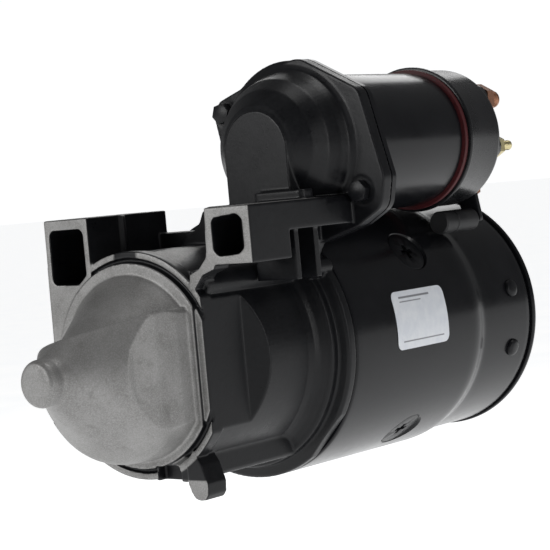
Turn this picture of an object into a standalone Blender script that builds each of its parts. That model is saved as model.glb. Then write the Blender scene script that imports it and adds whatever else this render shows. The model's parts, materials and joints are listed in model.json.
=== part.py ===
"""Starter motor with a top-mounted solenoid, as an assembly of separate pieces.

Run with:  blender --background --python part.py

Everything is laid out in one working frame, in millimetres: the armature shaft
is the Y axis with the nose towards -Y, +Z is up towards the engine block, and
Y = 0 is the machined front face of the housing flange.  The root empty then
shifts the whole assembly so that the world origin sits on the mounting pad.
"""
import math

import bmesh
import bpy
from mathutils import Matrix, Vector

for old in list(bpy.data.objects):
    bpy.data.objects.remove(old, do_unlink=True)

MM = 0.001

# ---------------------------------------------------------------- dimensions
PAD_POINT = (56.0, 12.0, 61.9)   # centre of the mounting pad that becomes the origin
SEG_BIG = 36                     # facets round the frame and the housing
SEG_MID = 20
SEG_SMALL = 12

# drive-end housing
SNOUT_R, SNOUT_Y = 9.6, -56.4
RIM_R = 42.2                     # raised rim round the foot of the nose
RING_R = 46.9                    # machined flange ring
BARREL_R = 46.2
FLAT_X = 38.2                    # flat on the right of the flange
REAR_FLANGE_R, JOINT_Y = 58.0, 73.1
EAR_TOP_Z = 61.9
LEFT_EAR_X = (-45.7, -20.4)
LEFT_EAR_LENGTH = 48.8
RIGHT_EAR_X = (44.5, 67.2)
RIGHT_EAR_LENGTH = 24.2

# field frame
FRAME_R, FRAME_R_REAR, FRAME_BORE_R = 58.0, 55.6, 51.5
FRAME_END_Y = 216.6
POLE_ANGLE = 36.6
POLE_Y = 132.0
CORE_R = 36.8

# solenoid
SOL_X, SOL_Z = 37.3, 83.6
SOL_CASE_R, SOL_LIP_R, SOL_CAP_R = 30.2, 33.0, 31.5
SOL_FLANGE_Y = 72.0
SOL_CASE_END_Y = 152.0
SOL_CAP_END_Y = 182.5

# shift linkage
PIVOT_B = 50.0                   # shaft axis to lever pivot
PIVOT_Y = 59.0
LEVER_TILT = math.atan2(SOL_X, SOL_Z)
AXES_APART = math.hypot(SOL_X, SOL_Z)
PIVOT_A = AXES_APART - PIVOT_B   # lever pivot to plunger axis
LEVER_REST = math.radians(7.6)   # lever leans this far either side of square

# brushes
BRUSH_PIN_ANGLE = -3.6
COMM_R = 19.0

THROUGH_BOLT_ANGLE = 81.6
THROUGH_BOLT_PCR = 48.2

# ---------------------------------------------------------------- collections
scene_col = bpy.context.scene.collection
part_col = bpy.data.collections.new("starter_motor")
scene_col.children.link(part_col)
work_col = bpy.data.collections.new("work")
work_col.hide_render = True
scene_col.children.link(work_col)

root = bpy.data.objects.new("starter_motor_root", None)
root.empty_display_size = 0.03
part_col.objects.link(root)
root.location = [-c * MM for c in PAD_POINT]

MATERIALS = {
    "housing_paint": ((0.018, 0.018, 0.02), 0.38, 0.0),
    "frame_paint": ((0.016, 0.016, 0.019), 0.3, 0.0),
    "steel": ((0.46, 0.46, 0.47), 0.32, 1.0),
    "hard_steel": ((0.3, 0.3, 0.31), 0.35, 1.0),
    "iron": ((0.16, 0.155, 0.15), 0.5, 1.0),
    "black_steel": ((0.02, 0.02, 0.022), 0.35, 0.6),
    "copper": ((0.72, 0.36, 0.2), 0.3, 1.0),
    "copper_wire": ((0.55, 0.2, 0.08), 0.35, 1.0),
    "bronze": ((0.62, 0.44, 0.2), 0.4, 1.0),
    "carbon": ((0.03, 0.03, 0.03), 0.6, 0.0),
    "black_plastic": ((0.02, 0.02, 0.022), 0.35, 0.0),
    "rubber": ((0.02, 0.02, 0.02), 0.7, 0.0),
    "red_fibre": ((0.2, 0.02, 0.025), 0.5, 0.0),
    "zinc": ((0.6, 0.56, 0.4), 0.35, 1.0),
    "white_label": ((0.8, 0.83, 0.87), 0.4, 0.0),
}


def material(name):
    found = bpy.data.materials.get(name)
    if found:
        return found
    colour, rough, metal = MATERIALS[name]
    made = bpy.data.materials.new(name)
    made.use_nodes = True
    shader = made.node_tree.nodes["Principled BSDF"]
    shader.inputs["Base Color"].default_value = (*colour, 1.0)
    shader.inputs["Roughness"].default_value = rough
    shader.inputs["Metallic"].default_value = metal
    made.diffuse_color = (*colour, 1.0)
    return made


# ---------------------------------------------------------------- modelling helpers
def work(name, data):
    obj = bpy.data.objects.new(name, data)
    work_col.objects.link(obj)
    obj.display_type = "WIRE"
    return obj


def bake(obj):
    """Apply the modifiers and the transform, and weld points that coincide."""
    graph = bpy.context.evaluated_depsgraph_get()
    mesh = bpy.data.meshes.new_from_object(obj.evaluated_get(graph))
    mesh.transform(obj.matrix_world)
    if obj.matrix_world.determinant() < 0:
        mesh.flip_normals()
    bm = bmesh.new()
    bm.from_mesh(mesh)
    bmesh.ops.remove_doubles(bm, verts=bm.verts, dist=2e-6)
    bmesh.ops.recalc_face_normals(bm, faces=bm.faces)
    bm.to_mesh(mesh)
    bm.free()
    made = work(obj.name + ".b", mesh)
    bpy.data.objects.remove(obj, do_unlink=True)
    return made


def turned(profile, seg, centre=(0.0, 0.0), start=0.0, sweep=360.0):
    """A profile of (radius, y) points turned about a line parallel to Y."""
    area = 0.0
    for (r0, y0), (r1, y1) in zip(profile, profile[1:] + profile[:1]):
        area += r0 * y1 - r1 * y0
    points = list(profile) if area < 0 else list(profile)[::-1]
    hollow = min(r for r, _ in profile) > 1e-6
    if not hollow:
        # begin and end on the axis so that the turned skin closes there
        while not (points[0][0] < 1e-6 and points[-1][0] < 1e-6):
            points = points[1:] + points[:1]
    mesh = bpy.data.meshes.new("profile")
    edges = [(i, i + 1) for i in range(len(points) - 1)]
    if hollow:
        edges.append((len(points) - 1, 0))
    mesh.from_pydata([(r * MM, 0.0, y * MM) for r, y in points], edges, [])
    obj = work("turned", mesh)
    screw = obj.modifiers.new("Screw", "SCREW")
    screw.axis = "Z"
    screw.angle = math.radians(sweep)
    screw.steps = seg
    screw.render_steps = seg
    screw.use_merge_vertices = True
    screw.merge_threshold = 1e-5
    screw.use_smooth_shade = False
    obj.matrix_world = (
        Matrix.Translation((centre[0] * MM, 0.0, centre[1] * MM))
        @ Matrix.Rotation(math.radians(-start), 4, "Y")
        @ Matrix.Rotation(math.radians(-90.0), 4, "X")
    )
    return bake(obj)


def rounded(corners, arc=3):
    """Polygon corners (x, y, radius) turned into points with arcs at the corners."""
    out = []
    n = len(corners)
    for i in range(n):
        p = Vector(corners[i][:2])
        r = corners[i][2] if len(corners[i]) > 2 else 0.0
        if r <= 0:
            out.append((p.x, p.y))
            continue
        a = (Vector(corners[i - 1][:2]) - p).normalized()
        b = (Vector(corners[(i + 1) % n][:2]) - p).normalized()
        half = math.acos(max(-1.0, min(1.0, a.dot(b)))) / 2
        away = r / math.tan(half)
        centre = p + (a + b).normalized() * (r / math.sin(half))
        start, end = p + a * away - centre, p + b * away - centre
        turn = math.atan2(start.x * end.y - start.y * end.x, start.dot(end))
        for k in range(arc + 1):
            t = turn * k / arc
            c, s = math.cos(t), math.sin(t)
            q = centre + Vector((start.x * c - start.y * s, start.x * s + start.y * c))
            out.append((q.x, q.y))
    return out


PLANES = {
    "xz": Matrix.Rotation(math.radians(90.0), 4, "X"),
    "xy": Matrix.Identity(4),
    "yz": Matrix(((0, 0, 1, 0), (1, 0, 0, 0), (0, 1, 0, 0), (0, 0, 0, 1))),
}


def slab(outline, low, high, plane="xz", holes=()):
    """A flat outline given thickness from low to high along the third axis."""
    data = bpy.data.curves.new("outline", "CURVE")
    data.dimensions = "2D"
    data.fill_mode = "BOTH"
    data.extrude = (high - low) / 2 * MM
    for loop in (outline, *holes):
        spline = data.splines.new("POLY")
        spline.points.add(len(loop) - 1)
        for point, (x, y) in zip(spline.points, loop):
            point.co = (x * MM, y * MM, 0.0, 1.0)
        spline.use_cyclic_u = True
    obj = work("slab", data)
    middle = (low + high) / 2 * MM
    shift = {"xz": (0, middle, 0), "xy": (0, 0, middle), "yz": (middle, 0, 0)}[plane]
    obj.matrix_world = Matrix.Translation(shift) @ PLANES[plane]
    bpy.context.view_layer.update()
    return bake(obj)


def box(x, y, z, bevel=0.0, segments=2):
    bm = bmesh.new()
    bmesh.ops.create_cube(bm, size=1.0)
    mesh = bpy.data.meshes.new("box")
    for v in bm.verts:
        v.co = Vector((
            (x[0] + x[1]) / 2 + v.co.x * (x[1] - x[0]),
            (y[0] + y[1]) / 2 + v.co.y * (y[1] - y[0]),
            (z[0] + z[1]) / 2 + v.co.z * (z[1] - z[0]),
        )) * MM
    bm.to_mesh(mesh)
    bm.free()
    obj = work("box", mesh)
    if bevel:
        mod = obj.modifiers.new("Bevel", "BEVEL")
        mod.width = bevel * MM
        mod.segments = segments
    return bake(obj)


def rod(start, end, radius, seg=SEG_SMALL, radius2=None):
    """A round bar, or a cone, between two points."""
    a, b = Vector(start) * MM, Vector(end) * MM
    bm = bmesh.new()
    bmesh.ops.create_cone(
        bm, cap_ends=True, segments=seg, radius1=radius * MM,
        radius2=(radius if radius2 is None else radius2) * MM, depth=(b - a).length,
    )
    mesh = bpy.data.meshes.new("rod")
    bm.to_mesh(mesh)
    bm.free()
    obj = work("rod", mesh)
    obj.matrix_world = Matrix.Translation((a + b) / 2) @ (b - a).to_track_quat("Z", "Y").to_matrix().to_4x4()
    return bake(obj)


def coil(start, end, radius, wire, turns, per_turn=10, wire_facets=1):
    """A helical spring along Y, made from a bevelled curve."""
    (x0, y0, z0), y1 = start, end
    data = bpy.data.curves.new("coil", "CURVE")
    data.dimensions = "3D"
    data.bevel_depth = wire * MM
    data.bevel_resolution = wire_facets - 1
    data.use_fill_caps = True
    count = int(turns * per_turn) + 1
    spline = data.splines.new("POLY")
    spline.points.add(count - 1)
    for i, point in enumerate(spline.points):
        t = i / (count - 1)
        a = 2 * math.pi * turns * t
        y = y0 + wire + (y1 - y0 - 2 * wire) * t
        point.co = ((x0 + radius * math.cos(a)) * MM, y * MM, (z0 + radius * math.sin(a)) * MM, 1.0)
    obj = work("coil", data)
    return bake(obj)


def combine(first, others, operation):
    for other in others:
        mod = first.modifiers.new("Boolean", "BOOLEAN")
        mod.operation = operation
        mod.solver = "EXACT"
        mod.object = other
        first = bake(first)
        bpy.data.objects.remove(other, do_unlink=True)
    return first


def add(first, *others):
    return combine(first, others, "UNION")


def cut(first, *others):
    return combine(first, others, "DIFFERENCE")


def keep(first, *others):
    return combine(first, others, "INTERSECT")


def move(obj, matrix):
    obj.data.transform(matrix)
    return obj


def about(point, angle, axis):
    """A turn by an angle in degrees about an axis through a point."""
    p = Vector(point) * MM
    return Matrix.Translation(p) @ Matrix.Rotation(math.radians(angle), 4, axis) @ Matrix.Translation(-p)


def ring_turn(degrees):
    """Turn anticlockwise about the shaft, seen from the front."""
    return Matrix.Rotation(math.radians(-degrees), 4, "Y")


def copy_of(obj):
    return work(obj.name, obj.data.copy())


def piece(obj, name, slot, origin=(0.0, 0.0, 0.0)):
    """Name a finished piece, give it its material and put its origin on its axis."""
    o = Vector(origin) * MM
    obj.data.transform(Matrix.Translation(-o))
    obj.name = name
    obj.data.name = name
    obj.data.materials.clear()
    obj.data.materials.append(material(slot))
    work_col.objects.unlink(obj)
    part_col.objects.link(obj)
    obj.display_type = "TEXTURED"
    obj.parent = root
    obj.location = o
    return obj


def polar(radius, degrees):
    a = math.radians(degrees)
    return radius * math.cos(a), radius * math.sin(a)


def circle(x, z, r, n):
    return [(x + r * math.cos(2 * math.pi * i / n), z + r * math.sin(2 * math.pi * i / n)) for i in range(n)]


def hexagon(x, z, across, turn=0.0):
    r = across / math.sqrt(3)
    return [(x + r * math.cos(math.radians(60 * i + turn)), z + r * math.sin(math.radians(60 * i + turn))) for i in range(6)]


# lever plane: U runs from the shaft towards the solenoid axis, H across it
U = Vector((math.sin(LEVER_TILT), 0.0, math.cos(LEVER_TILT)))
H = Vector((math.cos(LEVER_TILT), 0.0, -math.sin(LEVER_TILT)))
PIVOT = U * PIVOT_B + Vector((0.0, PIVOT_Y, 0.0))


def in_lever(u, y, h):
    p = U * u + H * h
    return (p.x, y, p.z)


def lever_frame():
    """Local X across the lever, Y along the shaft, Z from the shaft to the solenoid."""
    return Matrix((
        (H.x, 0.0, U.x, 0.0), (0.0, 1.0, 0.0, 0.0), (H.z, 0.0, U.z, 0.0), (0.0, 0.0, 0.0, 1.0),
    ))


# ---------------------------------------------------------------- drive-end housing
NOSE_PROFILE = [
    (0.0, SNOUT_Y), (7.2, SNOUT_Y), (9.1, -54.7), (SNOUT_R, -53.0), (SNOUT_R, -45.0), (10.8, -41.6), (17.5, -30.0), (30.8, -11.0), (37.4, -1.6), (RIM_R, -1.5),
    (42.3, 1.6), (44.0, 1.6), (44.1, 0.2), (46.9, 0.2), (46.9, 6.4), (46.2, 7.0), (46.2, 57.0), (48.4, 61.8), (52.4, 63.2), (52.8, 67.6),
    (57.2, 68.3), (58.0, 69.2), (58.0, 72.5), (57.4, 73.1), (0.0, 73.1),
]
# the fuller underside of the nose, below the ring gear's edge
BELLY_PROFILE = [
    (0.0, -50.5), (9.5, -50.5), (12.0, -46.2), (17.0, -40.0), (25.6, -31.0), (34.4, -22.2), (37.0, -18.6), (38.5, -13.0), (38.7, -1.0), (0.0, -1.0),
]
BELLY_SIDE = [(-60.0, 0.1), (60.0, 30.9), (60.0, -60.0), (-60.0, -60.0)]
CAVITY_PROFILE = [
    (0.0, -50.0), (8.0, -50.0), (8.0, -33.6), (12.6, -33.4), (15.6, -28.6), (19.0, -21.0), (22.6, -13.0), (26.4, -7.0),
    (28.6, -3.6), (31.0, -1.0), (35.6, 5.0), (35.6, 46.0), (40.0, 52.0), (40.0, 80.0), (0.0, 80.0),
]
SOL_DOME_PROFILE = [
    (0.0, 43.0), (14.8, 43.0), (18.6, 44.9), (24.6, 50.0), (28.8, 55.8), (30.8, 61.6), (32.4, 65.2), (36.4, 66.8), (36.4, 69.0), (0.0, 69.0),
]
SOL_CAVITY_PROFILE = [
    (0.0, 46.6), (12.5, 46.6), (17.5, 49.5), (22.5, 54.5), (25.6, 60.0), (26.4, 80.0), (0.0, 80.0),
]
SOL_FLANGE = [
    (-3.2, 100.5, 3), (0.2, 106.4, 5), (44.5, 121.0, 12), (75.2, 104.6, 7), (84.6, 68.0, 8),
    (82.0, 55.5, 8), (70.0, 48.8, 6), (46.0, 42.0, 0), (10.0, 44.0, 0), (5.5, 62.0, 4), (0.5, 82.0, 4),
]
LEFT_EAR = [(-45.7, 61.9), (-20.4, 61.9), (-20.4, 38.0), (-30.0, 12.0), (-46.3, 2.0), (-46.5, 9.5)]
LEFT_POCKET = [(-43.0, 57.5, 3), (-23.4, 57.5, 3), (-23.2, 38.2, 1.5), (-28.0, 34.4, 1.5), (-43.2, 34.6, 3)]
RIGHT_EAR = [(44.5, 61.9), (67.2, 61.9), (67.2, 39.2), (44.0, 39.2), (43.6, 46.0)]
RIGHT_WEB = [
    (44.5, 61.0), (60.0, 61.0), (60.0, 39.3), (47.7, 39.3), (47.0, 37.6), (40.6, 35.4), (36.0, 30.0),
    (33.0, 30.0), (34.0, 36.0), (39.0, 38.1), (42.8, 42.0), (44.5, 48.0),
]
RIGHT_POCKET = [(47.6, 57.6, 2.5), (60.8, 58.8, 3), (63.4, 56.2, 2), (63.4, 45.2, 2.5), (60.4, 43.1, 2), (50.2, 42.7, 2.5), (47.7, 45.2, 2)]
PAD_BASE = [
    (-8.0, 40.0), (-7.4, 47.0), (-4.5, 50.6), (0.6, 52.6), (3.4, 55.6), (5.2, 59.4), (8.4, 61.9),
    (50.0, 61.9), (50.0, 44.0), (43.0, 33.0), (20.0, 30.0), (0.0, 38.0),
]
TAB = [(23.1, -40.0), (23.1, -47.6), (24.6, -51.4), (26.4, -53.8), (28.7, -54.5), (31.6, -54.2), (33.4, -52.0), (33.6, -47.4), (31.0, -40.0), (27.0, -34.0)]
KEEL = [(6.0, -47.2), (21.0, -47.4), (26.6, -46.6), (27.5, -45.4), (27.5, -36.0), (6.0, -40.0)]


def solenoid_screw_spots():
    return [(3.4, 101.0), (72.6, 63.0)]


def drive_housing():
    body = add(turned(NOSE_PROFILE, SEG_BIG), keep(turned(BELLY_PROFILE, SEG_BIG), slab(BELLY_SIDE, -60.0, 0.5)))
    # flat on the right of the flange, running out into the barrel through a slope
    body = cut(body, slab([(FLAT_X, -3.0), (60.0, -3.0), (60.0, 42.0), (FLAT_X, 24.0)], -30.0, 30.0, "xy"))
    # the rim and its groove follow the flat, and so does the side of the nose
    body = cut(body, box((34.6, 60.0), (-3.0, 0.12), (-30.3, 30.3)), box((34.5, 35.4), (-3.1, 1.5), (-26.4, 26.4)))
    body = cut(body, slab([(32.3, -1.62), (31.7, -8.0), (29.4, -18.0), (26.0, -28.0), (24.0, -42.0), (60.0, -42.0), (60.0, -1.62)], -60.0, 60.0, "xy"))
    # chord across the lower right of the rear flange
    chord = box((56.6, 90.0), (62.0, 80.0), (-60.0, 60.0))
    body = cut(body, move(chord, ring_turn(-44.0)))
    # mounting ears, the web beside the right one and the pad that ties them to the back
    body = add(
        body,
        slab(LEFT_EAR, -0.2, LEFT_EAR_LENGTH),
        slab(RIGHT_EAR, -0.2, RIGHT_EAR_LENGTH),
        slab(RIGHT_WEB, -0.1, 9.0),
        box((43.0, 67.2), (20.0, 68.0), (50.4, 61.9)),
        slab(PAD_BASE, 43.0, 69.5),
        box((-34.0, 2.0), (43.4, 64.0), (40.0, 52.0)),
        slab(rounded([(39.0, 36.6, 2.5), (65.4, 36.6, 3), (65.4, 45.0, 3), (39.0, 45.0, 2.5)]), 58.0, 65.8, "xy"),
    )
    # ribs under the pad plate
    body = add(body, box((40.0, 61.0), (34.4, 37.4), (30.0, 52.0)), box((38.0, 61.0), (47.0, 50.0), (30.0, 52.0)))
    # long bead under the right ear and the boss behind it
    body = add(body, rod((32.6, 5.0, 31.4), (32.6, 68.0, 31.4), 6.2, 16), rod((45.6, 60.5, 32.6), (45.6, 72.6, 32.6), 4.0, 14))
    # keel and tab below
    body = add(body, slab(KEEL, 1.0, 65.0), slab(TAB, -0.15, 11.4))
    # solenoid tower: flat arch in front, dome and flange
    arch = slab(rounded([(20.8, 58.0, 0), (20.8, 82.8 + 16.5, 16.4), (53.8, 82.8 + 16.5, 16.4), (53.8, 58.0, 0)], 8), 43.0, 60.0)
    body = add(body, turned(SOL_DOME_PROFILE, SEG_MID + 4, (SOL_X, SOL_Z)), arch, slab(rounded(SOL_FLANGE), 66.2, SOL_FLANGE_Y))
    # hollows
    body = cut(
        body,
        turned(CAVITY_PROFILE, SEG_MID),
        turned(SOL_CAVITY_PROFILE, SEG_MID, (SOL_X, SOL_Z)),
        slab(rounded(LEFT_POCKET), -1.0, 21.0),
        slab(rounded(RIGHT_POCKET), -1.0, 18.0),
        box((6.7, 18.7), (-3.0, 5.0), (-48.0, -40.8)),
        box((-60.0, -20.0), (-27.0, -2.2), (-20.0, 22.0)),
    )
    # room for the heads of the solenoid screws
    for x, z in solenoid_screw_spots():
        body = cut(body, rod((x, 50.0, z), (x, 66.4, z), 6.4, 20))
    # slot that the shift lever swings in
    slot = box((-9.0, 9.0), (48.6, 70.6), (30.0, 74.0))
    body = cut(body, move(slot, lever_frame()))
    # pivot pin bore, mounting bolt holes, solenoid screw holes, through-bolt threads
    body = cut(body, rod(in_lever(PIVOT_B, PIVOT_Y, -40.0), in_lever(PIVOT_B, PIVOT_Y, 18.0), 3.35, 16))
    body = cut(body, rod((-33.0, 35.0, 40.0), (-33.0, 35.0, 70.0), 5.35, SEG_SMALL), rod((57.5, 28.0, 45.0), (57.5, 28.0, 70.0), 5.35, SEG_SMALL))
    for x, z in solenoid_screw_spots():
        body = cut(body, rod((x, 60.0, z), (x, 80.0, z), 3.1, 14))
    for side in (0.0, 180.0):
        x, z = polar(THROUGH_BOLT_PCR, THROUGH_BOLT_ANGLE + side)
        body = cut(body, rod((x, 65.0, z), (x, 80.0, z), 3.2, 14))
    return body


piece(drive_housing(), "drive_housing", "housing_paint")
piece(turned([(5.6, -49.7), (7.7, -49.7), (7.7, -34.0), (5.6, -34.0)], SEG_SMALL), "nose_bushing", "bronze")

# ---------------------------------------------------------------- shift linkage
piece(rod(in_lever(PIVOT_B, PIVOT_Y, -15.5), in_lever(PIVOT_B, PIVOT_Y, 15.5), 3.0, 16), "lever_pivot_pin", "steel", tuple(PIVOT))


def shift_lever():
    yoke = turned([(21.4, PIVOT_Y - 2.6), (25.2, PIVOT_Y - 2.6), (25.2, PIVOT_Y + 2.6), (21.4, PIVOT_Y + 2.6)], 32)
    yoke = cut(yoke, box((-40.0, 40.0), (PIVOT_Y - 9, PIVOT_Y + 9), (-40.0, -3.2)))
    for side in (-1, 1):
        yoke = add(yoke, rod((side * 15.7, PIVOT_Y, 0.0), (side * 24.6, PIVOT_Y, 0.0), 3.1, 14))
    arm = slab([(-7.0, 22.0), (7.0, 22.0), (7.0, 54.0), (8.0, 84.0), (8.0, 95.0), (4.5, 95.0), (4.5, 86.4),
                (-4.5, 86.4), (-4.5, 95.0), (-8.0, 95.0), (-8.0, 84.0), (-7.0, 54.0)], PIVOT_Y - 2.0, PIVOT_Y + 2.0)
    hub = rod((-8.0, PIVOT_Y, PIVOT_B), (8.0, PIVOT_Y, PIVOT_B), 6.8, 20)
    lever = add(arm, hub, yoke)
    lever = cut(lever, rod((-20.0, PIVOT_Y, PIVOT_B), (20.0, PIVOT_Y, PIVOT_B), 3.35, 20))
    lever = move(lever, about((0.0, PIVOT_Y, PIVOT_B), math.degrees(LEVER_REST), "X"))
    return move(lever, lever_frame())


piece(shift_lever(), "shift_lever", "steel", tuple(PIVOT))

# ---------------------------------------------------------------- drive
COLLAR_Y = PIVOT_Y + PIVOT_B * math.sin(LEVER_REST)      # centre of the shift collar groove at rest


def gear_outline(teeth, r_root, r_tip, root_share=0.62, tip_share=0.3):
    points = []
    for i in range(teeth):
        mid = 2 * math.pi * i / teeth
        half_root = math.pi / teeth * root_share
        half_tip = math.pi / teeth * tip_share
        for r, a in ((r_root, -half_root), ((r_root + r_tip) / 2, -(half_root * 0.45 + half_tip * 0.55)), (r_tip, -half_tip),
                     (r_tip, half_tip), ((r_root + r_tip) / 2, half_root * 0.45 + half_tip * 0.55), (r_root, half_root)):
            points.append((r * math.cos(mid + a), r * math.sin(mid + a)))
    return points


piece(slab(gear_outline(9, 10.6, 14.9), -13.8, 7.4, holes=[circle(0, 0, 8.0, 20)]), "pinion_gear", "hard_steel")
piece(turned([(8.2, 7.9), (19.0, 7.9), (21.5, 9.5), (26.2, 10.6), (27.0, 12.0), (27.0, 29.5), (26.0, 31.0),
              (12.5, 31.0), (11.4, 33.0), (11.4, 59.4), (8.2, 59.4)], SEG_MID), "clutch_shell", "steel")
piece(coil((0.0, 33.4, 0.0), 58.2, 13.4, 1.1, 5.0, 10), "drive_spring", "steel")
piece(turned([(11.9, COLLAR_Y - 6.4), (19.6, COLLAR_Y - 6.4), (19.6, COLLAR_Y - 3.7), (15.0, COLLAR_Y - 3.7), (15.0, COLLAR_Y + 3.7),
              (19.6, COLLAR_Y + 3.7), (19.6, COLLAR_Y + 6.0), (11.9, COLLAR_Y + 6.0)], 28), "shift_collar", "hard_steel")
piece(turned([(6.5, -32.6), (10.6, -32.6), (11.2, -31.6), (11.2, -28.6), (6.5, -28.6)], SEG_SMALL), "pinion_stop_collar", "hard_steel")

# ---------------------------------------------------------------- armature
piece(turned([(0.0, -49.2), (4.6, -49.2), (5.25, -48.4), (5.25, -33.6), (6.1, -33.4), (6.1, -28.2), (7.6, -27.6), (7.6, 78.0), (9.2, 79.0),
              (9.2, 170.0), (8.0, 171.0), (8.0, 200.0), (5.25, 201.0), (5.25, 227.4), (4.8, 228.0), (0.0, 228.0)], 16), "armature_shaft", "steel")


def armature_core():
    core = turned([(9.5, 98.0), (CORE_R, 98.0), (CORE_R, 166.0), (9.5, 166.0)], 24)
    for i in range(12):
        core = cut(core, move(box((24.6, 40.0), (90.0, 180.0), (-2.6, 2.6)), ring_turn(30 * i)))
    return core


def armature_windings():
    ends = turned([(12.0, 92.0), (15.0, 87.0), (32.0, 84.5), (35.4, 88.0), (35.4, 97.4), (12.0, 97.4)], 24)
    back = turned([(12.0, 166.6), (34.6, 166.6), (34.6, 170.5), (31.0, 172.6), (12.0, 172.6)], 24)
    for i in range(12):
        ends = add(ends, move(box((25.4, 34.4), (94.0, 170.0), (-2.1, 2.1)), ring_turn(30 * i)))
    return add(ends, back)


piece(armature_core(), "armature_core", "iron")
piece(armature_windings(), "armature_windings", "copper_wire")


def commutator():
    ring = turned([(8.4, 173.2), (24.0, 173.2), (24.0, 176.2), (COMM_R, 177.0), (COMM_R, 197.6), (18.2, 198.4), (8.4, 198.4)], 24)
    for i in range(12):
        ring = cut(ring, move(box((18.0, 30.0), (170.0, 210.0), (-0.4, 0.4)), ring_turn(15 + 30 * i)))
    return ring


piece(commutator(), "commutator", "copper")

# ---------------------------------------------------------------- field frame
def pole_angles():
    return [POLE_ANGLE + 90.0 * i for i in range(4)]


def field_frame():
    frame = turned([
        (FRAME_BORE_R, 73.5), (57.3, 73.5), (57.9, 74.3), (58.0, 75.0), (58.0, 164.0), (57.7, 168.0), (56.4, 172.0), (55.8, 174.4),
        (55.6, 175.6), (55.6, 214.6), (55.2, 215.6), (54.6, 216.2), (FRAME_BORE_R, 216.2),
    ], SEG_BIG)
    for angle in pole_angles():
        turn = ring_turn(angle)
        frame = cut(frame, move(rod((49.0, POLE_Y, 0.0), (60.0, POLE_Y, 0.0), 5.1, 16), turn))
        frame = cut(frame, move(rod((51.8, POLE_Y, 0.0), (60.2, POLE_Y, 0.0), 5.2, 16, 13.6), turn))
    for angle in RIVET_ANGLES:
        frame = cut(frame, move(rod((48.0, RIVET_Y, 0.0), (60.0, RIVET_Y, 0.0), 2.3, 12), ring_turn(angle)))
    return frame


RIVET_Y = 201.0
RIVET_ANGLES = (10.9, -18.2, 190.9, 161.8)
piece(field_frame(), "field_frame", "frame_paint")

for letter, angle in zip("abcd", pole_angles()):
    turn = ring_turn(angle)
    # a curved tip beside the armature and a neck that reaches the frame bore
    tip = keep(box((28.0, 42.0), (99.0, 165.0), (-21.0, 21.0)), turned([(37.6, 90.0), (40.5, 90.0), (40.5, 180.0), (37.6, 180.0)], SEG_BIG))
    neck = keep(box((30.0, 54.0), (101.0, 163.0), (-15.4, 15.4)), turned([(39.2, 90.0), (51.1, 90.0), (51.1, 180.0), (39.2, 180.0)], SEG_BIG))
    block = add(tip, neck)
    block = cut(block, rod((42.0, POLE_Y, 0.0), (60.0, POLE_Y, 0.0), 5.1, 14))
    piece(move(block, turn), "pole_shoe_" + letter, "iron", (0, 0, 0))
    screw = add(rod((43.0, POLE_Y, 0.0), (53.0, POLE_Y, 0.0), 4.7, 14), rod((52.2, POLE_Y, 0.0), (57.5, POLE_Y, 0.0), 4.7, 16, 10.7))
    screw = cut(screw, box((55.0, 60.0), (POLE_Y - 1.3, POLE_Y + 1.3), (-20.0, 20.0)))
    piece(move(screw, turn), "pole_screw_" + letter, "black_steel", (0, 0, 0))


def field_coils():
    cage = turned([(41.0, 92.0), (44.6, 92.0), (44.6, 172.0), (41.0, 172.0)], 36)
    for angle in pole_angles():
        cage = cut(cage, move(box((30.0, 60.0), (100.0, 164.0), (-16.2, 16.2)), ring_turn(angle)))
    return cage


piece(field_coils(), "field_coils", "copper_wire")


def frame_label():
    skin = turned([(58.12, 103.0), (58.34, 103.0), (58.34, 142.0), (58.12, 142.0)], SEG_BIG)
    # a rounded outline cut through the shell at the front right
    outline = rounded([(103.0, -13.0, 3.2), (142.0, -13.0, 3.2), (142.0, 12.4, 3.2), (103.0, 12.4, 3.2)], 5)
    patch = slab(outline, 50.0, 62.0, "yz")
    return keep(move(skin, ring_turn(0.0)), move(patch, ring_turn(5.6)))


piece(frame_label(), "data_label", "white_label")

for name, angle in zip(("rivet_upper_right", "rivet_lower_right", "rivet_lower_left", "rivet_upper_left"), RIVET_ANGLES):
    rivet = add(rod((47.6, RIVET_Y, 0.0), (56.4, RIVET_Y, 0.0), 2.0, 12), rod((55.75, RIVET_Y, 0.0), (57.8, RIVET_Y, 0.0), 4.1, 20, 3.5))
    piece(move(rivet, ring_turn(angle)), name, "black_steel")

# ---------------------------------------------------------------- brushes
PIN_R = 41.0
for side, extra in (("right", 0.0), ("left", 180.0)):
    turn = ring_turn(BRUSH_PIN_ANGLE + extra)
    # bracket riveted to the frame, with a lug that holds the pivot pin
    pad = box((30.0, 51.1), (192.0, 209.0), (-17.5, 17.5))
    pad = keep(pad, turned([(48.4, 192.0), (51.1, 192.0), (51.1, 209.0), (48.4, 209.0)], SEG_BIG))
    bracket = add(pad, box((36.4, 49.6), (205.2, 208.2), (-5.0, 5.0)))
    bracket = cut(bracket, rod((PIN_R, 200.0, 0.0), (PIN_R, 212.0, 0.0), 2.2, 14))
    for angle in (RIVET_ANGLES[0] - BRUSH_PIN_ANGLE, RIVET_ANGLES[1] - BRUSH_PIN_ANGLE):
        bracket = cut(bracket, move(rod((44.0, RIVET_Y, 0.0), (60.0, RIVET_Y, 0.0), 2.3, 12), ring_turn(angle)))
    piece(move(bracket, turn), "brush_bracket_" + side, "zinc")
    pin = rod((PIN_R, 179.0, 0.0), (PIN_R, 208.6, 0.0), 1.9, 14)
    piece(move(pin, turn), "brush_pin_" + side, "steel")
    spring = coil((PIN_R, 187.4, 0.0), 195.4, 3.6, 0.7, 3.0, 8)
    piece(move(spring, turn), "brush_spring_" + side, "steel")

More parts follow.
